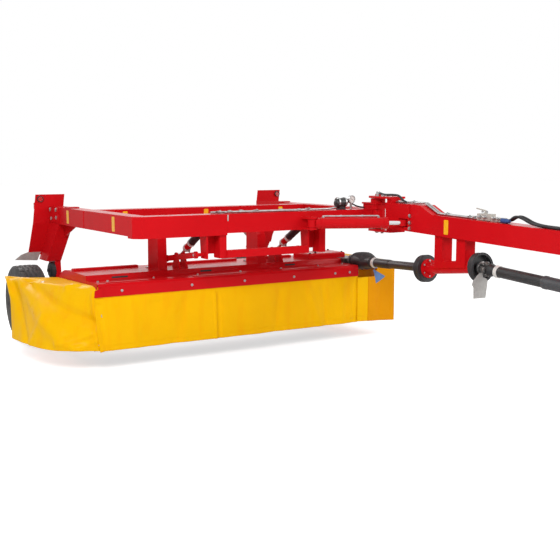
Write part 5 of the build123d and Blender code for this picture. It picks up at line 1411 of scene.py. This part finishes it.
class MOWER_OT_drive_line(bpy.types.Operator):
    """Dress the drive shafts with their boot, tubes, joint, rings and blank tags"""

    bl_idname = "mower.drive_line"
    bl_label = "Drive line"

    def execute(self, context):
        self.rear_shaft()
        self.front_shaft()
        self.joint()
        cone = Shape()
        bead = mm(
            (0, 122.5), (4, 126.2), (12, 126.2), (18, 123.8), (40, 123.8), (50, 126.2), (62, 126.2), (63.5, 122.2),
        )
        for base, out in CONES:
            cone.turned(at(base + out * 0.002), out, bead, 64)
        cone.make("Cone_beads", "Boot rubber", "drawbar")
        self.tag(
            "Front_tag", "Bare tag", "drawbar", FRONT_TAG, (1.300, -1.808, 0.778), (1, 0.10, 0.02), (0, -0.04, 1),
            (1.325, -1.802, 0.872), (1.335, -1.796, 0.890), (1.352, -1.790, 0.905),
        )
        self.tag(
            "Rear_tag", "Blue tag", "drive_shaft", REAR_TAG, (1.352, -0.300, 0.724), (1, 0.10, 0), (0, -0.08, 1),
            (1.356, -0.298, 0.742), (1.372, -0.292, 0.762), (1.398, -0.286, 0.776),
        )
        return {"FINISHED"}

    def tag(self, name, look, body, outline, place, right, up, *tie):
        """Blank tag that hangs from a tie."""
        shape = Shape().prism(outline, at(place), right, up, 0.0022)
        shape.pipe(path(*tie), 0.003, 0.01, 8).make(name, look, body)

    def rear_shaft(self):
        """Boot, ring and tubes of the rear shaft."""
        rear = (REAR_TARGET - REAR_START).normalized()
        mouth = REAR_TARGET - rear * 0.096
        profile = [(0.0, 0.0885), (0.0, 0.0900)]
        for step in range(37):
            along = 0.004 + 0.286 * step / 36
            share = along / 0.29
            body = 0.0895 - 0.0030 * share - 0.0300 * max(0.0, share - 0.62) ** 1.15 / 0.335
            profile.append((along, body + 0.0012 * math.sin(step * 1.85)))
        boot = Shape().turned(at(mouth), -rear, profile + mm((298, 60), (325, 51), (330, 44)), 56)
        # The boot bulges away from the deck, which it passes at the head's limits
        for point in boot.points:
            bulge = math.sin(math.pi * clamp((point - at(mouth)).dot(-rear) / 0.33) ** 0.8)
            point.x += 0.020 * bulge
            point.z += 0.010 * bulge
        boot.make("Rear_boot", "Boot rubber", "drive_shaft")
        ring = Shape().turned(at(mouth - rear * 0.332), -rear, shaft_ring(53), 40)
        ring.make("Rear_ring", "White collar", "drive_shaft")
        tube = mm((0, TUBE_BORE), (0, 45.5), (235, 45.5), (245, 43), (245, TUBE_BORE))
        neck = mm((0, TUBE_BORE), (4, 49), (30, 50), (44, 43), (46, TUBE_BORE))
        tubes = Shape().turned(at(mouth - rear * 0.372), -rear, tube, 40)
        tubes.turned(at(REAR_START + rear * 0.048), rear, neck, 40)
        tubes.make("Rear_tube", "Black plastic", "drive_shaft")

    def front_shaft(self):
        """Inner and outer guard tubes and the ring of the front shaft."""
        ahead = (SHAFT_LAST - SHAFT_FIRST).normalized()

        def along(distance):
            return at(SHAFT_FIRST + ahead * distance)

        inner = mm((0, TUBE_BORE), (0, 47), (472, 47), (476, 44.5), (476, TUBE_BORE))
        neck = mm((0, TUBE_BORE), (0, 54.5), (12, 57.5), (30, 50), (70, 44), (70, TUBE_BORE))
        tube = Shape().turned(along(0.225), ahead, inner, 44).turned(along(0.118), ahead, neck, 44)
        tube.make("Front_tube", "Black plastic", "drawbar")
        outer = mm((0, 44.5), (0, 53), (6, 54.5), (30, 54.5), (34, 51.5), (740, 51.5), (744, 44.5))
        Shape().turned(along(0.706), ahead, outer, 44).make("Front_outer_tube", "Grey plastic", "drawbar")
        Shape().turned(along(0.190), ahead, shaft_ring(53.5), 40).make("Front_ring", "White collar", "drawbar")

    def joint(self):
        """Cross, ears, flange and grease nipple of the front shaft's joint."""
        ahead = (SHAFT_LAST - SHAFT_FIRST).normalized()
        middle = SHAFT_FIRST + ahead * 0.070
        up = Vector((0, ahead.z, -ahead.y))
        across = Vector(LEFT)
        boss = mm((0, 21), (20, 21), (23, 18), (23, 0))
        ear = mm((-52, -24), (18, -24), (26, -12), (26, 12), (18, 24), (-52, 24))
        joint = Shape()
        for way in (1, -1):
            joint.turned(at(middle + up * way * 0.040), up * way, boss, 24)
            joint.turned(at(middle + across * (way * 0.040)), across * way, boss, 24)
            joint.prism(ear, at(middle + across * (way * 0.046 - 0.007)), ahead, up, -0.014)
            joint.prism(ear, at(middle + up * (way * 0.046)), -ahead, across, 0.012)
        flange = mm((0, TUBE_BORE), (0, 58), (18, 58), (22, 52), (22, TUBE_BORE))
        joint.turned(at(SHAFT_FIRST + ahead * 0.004), ahead, flange, 32)
        nipple = mm((0, 6), (20, 6), (22, 4), (28, 5), (31, 0))
        joint.turned(at(middle - across * 0.030 + up * 0.030), (-1, 0, 0.9), nipple, 10)
        joint.make("Front_joint", "Worn steel", "drawbar", bevel=0.001)


# Link pins' line, and the jack's axis with its crank's end
LINK_Y, LINK_Z = -4.060, 0.620
JACK_X, JACK_Y, CRANK_Y, CRANK_Z = 1.527, -3.180, -3.300, 1.422


class MOWER_OT_hitch_fittings(bpy.types.Operator):
    """Add linch pins and the jack's crank"""

    bl_idname = "mower.hitch_fittings"
    bl_label = "Hitch fittings"

    def execute(self, context):
        pins = Shape()
        collar = mm((-4, 14.5), (-4, 17.5), (3, 17.5), (3, 14.5))
        pin = mm((0, 4), (20, 4), (21, 6.5), (27, 6.5), (28, 0))
        for way in (-1, 1):
            pins.turned(at(BAR_X + way * 0.5030, LINK_Y, LINK_Z), (way, 0, 0), collar, 24)
            pins.turned(at(BAR_X + way * 0.470, LINK_Y, LINK_Z + 0.0142), UP, pin, 12)
        pins.make("Link_pin_rings", "Zinc plate", "hitch")
        hub = mm((0, 40), (8, 40), (10, 16), (30, 16), (32, 0))
        arm = path((JACK_X, JACK_Y, CRANK_Z), (JACK_X, CRANK_Y, CRANK_Z), (JACK_X, CRANK_Y, 1.470))
        crank = Shape().turned(at(JACK_X, JACK_Y, 1.400), UP, hub, 32).pipe(arm, 0.008, 0.02)
        crank.make("Jack_crank", "Zinc plate", "drawbar")
        grip = Shape().turned(at(JACK_X, CRANK_Y, 1.430), UP, mm((0, 12), (4, 15.5), (52, 16.5), (58, 0)), 24)
        grip.make("Crank_grip", "Black plastic", "drawbar")
        return {"FINISHED"}


# Tape on the beams: its middle height, and how tall it is on the frame and on the drawbar
TAPE_Z, TAPE_TALL, BAR_TAPE_TALL = 1.270, 0.130, 0.128
FRAME_TAPE_WIDE, CROSS_TAPE_WIDE, BAR_TAPE_WIDE = 0.062, 0.050, 0.055


def strip(shape, centre, right, width, height):
    """Upright tape with rounded corners, centred on a face that right runs along."""
    cut = 0.006
    w, h = width / 2, height / 2
    corners = [
        (-w + cut, -h), (w - cut, -h), (w, -h + cut), (w, h - cut),
        (w - cut, h), (-w + cut, h), (-w, h - cut), (-w, -h + cut),
    ]
    shape.prism(corners, centre, right, UP, 0.0008)


class MOWER_OT_markings(bpy.types.Operator):
    """Stick the yellow tape and plain labels"""

    bl_idname = "mower.markings"
    bl_label = "Markings"

    def execute(self, context):
        tape = Shape()
        for y in (1.333, 0.148):
            strip(tape, at(RIGHT_FACE - 0.0006, y, TAPE_Z), FRONT, FRAME_TAPE_WIDE, TAPE_TALL)
            strip(tape, at(LEFT_FACE + 0.0006, y, TAPE_Z), REAR, FRAME_TAPE_WIDE, TAPE_TALL)
        for x in (-0.761, 0.116, 1.008):
            strip(tape, at(x, 0.8845, TAPE_Z), LEFT, CROSS_TAPE_WIDE, TAPE_TALL)
            strip(tape, at(x, 1.0355, TAPE_Z), RIGHT, CROSS_TAPE_WIDE, TAPE_TALL)
        tape.make("Frame_tape", "Yellow tape", "frame")
        bar = Shape()
        for x, right in ((1.2955, FRONT), (1.4765, REAR)):
            strip(bar, at(x, -1.382, 1.240), right, BAR_TAPE_WIDE, BAR_TAPE_TALL)
        bar.make("Drawbar_tape", "Yellow tape", "drawbar")
        label = Shape().prism(oblong(-0.052, -0.045, 0.052, 0.045), at(-1.10, 0.765, 0.8122), LEFT, REAR, 0.0006)
        label.make("Deck_label", "Yellow tape", "head")
        plate = Shape().prism(oblong(-0.040, -0.028, 0.040, 0.028), at(-0.33, -0.3205, 1.320), LEFT, UP, 0.0008)
        plate.make("Maker_plate", "Bare tag", "frame")
        return {"FINISHED"}


# Soft lights: name, place, the point that it faces, strength as a share of the key light's
LIGHTS = (
    ("Key_light", (-4.6, -5.0, 5.4), (0, 0.0, 0.8), 1.0),
    ("Side_light", (5.0, -4.6, 3.8), (0.6, 0.0, 0.8), 0.42),
    ("Back_light", (-1.0, 6.0, 4.5), (0, 0.3, 0.9), 0.4),
)
LIGHT_SIZE = 3.0
FLOOR_HALF = 60
CAMERA_PLACE, CAMERA_DIP, CAMERA_TURN = (-4.13834, -7.2854, 1.8117), 7.487, -32.187
SENSOR = 36


class MOWER_OT_stage(bpy.types.Operator):
    """Lay the floor, light it and set the camera"""

    bl_idname = "mower.stage"
    bl_label = "Stage"

    def execute(self, context):
        scene = context.scene
        studio = scene.mower_studio
        scene.view_settings.view_transform = "Standard"
        self.floor()
        self.world(scene, studio.fill)
        for name, place, target, share in LIGHTS:
            self.lamp(name, at(place), at(target), studio.key * share)
        camera = bpy.data.objects.new("Camera", bpy.data.cameras.new("Camera"))
        scene.collection.objects.link(camera)
        camera.location = at(CAMERA_PLACE)
        camera.rotation_euler = (math.radians(90 - CAMERA_DIP), 0, math.radians(CAMERA_TURN))
        camera.data.lens = studio.lens
        camera.data.sensor_width = SENSOR
        scene.camera = camera
        return {"FINISHED"}

    def floor(self):
        """Wide pale floor that keeps the shadow and looks white to the camera."""
        corners = [(x, y, 0) for x, y in oblong(-FLOOR_HALF, -FLOOR_HALF, FLOOR_HALF, FLOOR_HALF)]
        mesh = bpy.data.meshes.new("Floor")
        mesh.from_pydata(corners, [], [(0, 1, 2, 3)])
        made = Finish("Pale floor", Roughness=0.9, Specular_IOR_Level=0.0)
        made.shader.inputs["Base Color"].default_value = (0.86, 0.86, 0.86, 1)
        made.shader.inputs["Emission Color"].default_value = (1, 1, 1, 1)
        rays = made.tree.nodes.new("ShaderNodeLightPath").outputs
        seen = math_node(made.tree, "MAXIMUM", rays["Is Camera Ray"], rays["Is Transmission Ray"])
        made.feed("Emission Strength", math_node(made.tree, "MULTIPLY", seen, 0.60))
        linked("Floor", mesh, "Pale floor")

    def world(self, scene, strength):
        """Even sky, white where the camera or a reflection looks straight at it."""
        world = bpy.data.worlds.new("Studio")
        scene.world = world
        world.use_nodes = True
        tree = world.node_tree
        tree.nodes.clear()
        rays = tree.nodes.new("ShaderNodeLightPath").outputs
        seen = math_node(tree, "MAXIMUM", rays["Is Camera Ray"], rays["Is Glossy Ray"])
        seen = math_node(tree, "MAXIMUM", seen, rays["Is Transmission Ray"])
        sky = tree.nodes.new("ShaderNodeBackground")
        sky.inputs["Color"].default_value = (1, 1, 1, 1)
        tree.links.new(spread(tree, seen, 0.0, 1.0, strength, 1.0), sky.inputs["Strength"])
        out = tree.nodes.new("ShaderNodeOutputWorld")
        tree.links.new(sky.outputs[0], out.inputs["Surface"])

    def lamp(self, name, place, target, power):
        """Square soft light that faces a point."""
        data = bpy.data.lights.new(name, "AREA")
        data.shape = "SQUARE"
        data.size = LIGHT_SIZE
        data.energy = power
        lamp = bpy.data.objects.new(name, data)
        bpy.context.scene.collection.objects.link(lamp)
        lamp.location = place
        lamp.rotation_euler = (target - place).to_track_quat("-Z", "Y").to_euler()


OPERATORS = (
    MOWER_OT_finishes, MOWER_OT_curtain_right, MOWER_OT_curtain_front, MOWER_OT_curtain_left, MOWER_OT_tyres,
    MOWER_OT_wheels, MOWER_OT_fasteners, MOWER_OT_frame_fittings, MOWER_OT_head_fittings, MOWER_OT_rams,
    MOWER_OT_hydraulics, MOWER_OT_drive_line, MOWER_OT_hitch_fittings, MOWER_OT_markings, MOWER_OT_stage,
)


class MOWER_PT_panel(bpy.types.Panel):
    """Sidebar panel with the values and one button for each group of pieces"""

    bl_idname = "MOWER_PT_panel"
    bl_label = "Mower"
    bl_space_type = "VIEW_3D"
    bl_region_type = "UI"
    bl_category = "Mower"

    def draw(self, context):
        for values in (context.scene.mower_looks, context.scene.mower_studio):
            for name in values.__annotations__:
                self.layout.prop(values, name)
        for operator in OPERATORS:
            self.layout.operator(operator.bl_idname)


CLASSES = (MowerLooks, StudioLooks, *OPERATORS, MOWER_PT_panel)


def register():
    """Register the classes and put the values on the scene."""
    for made in CLASSES:
        bpy.utils.register_class(made)
    bpy.types.Scene.mower_looks = bpy.props.PointerProperty(type=MowerLooks)
    bpy.types.Scene.mower_studio = bpy.props.PointerProperty(type=StudioLooks)


def unregister():
    """Take the values and classes off again."""
    del bpy.types.Scene.mower_studio
    del bpy.types.Scene.mower_looks
    for made in reversed(CLASSES):
        bpy.utils.unregister_class(made)


def main():
    """Dress the mower."""
    register()
    for operator in OPERATORS:
        group, name = operator.bl_idname.split(".")
        getattr(getattr(bpy.ops, group), name)()


if __name__ == "__main__":
    main()
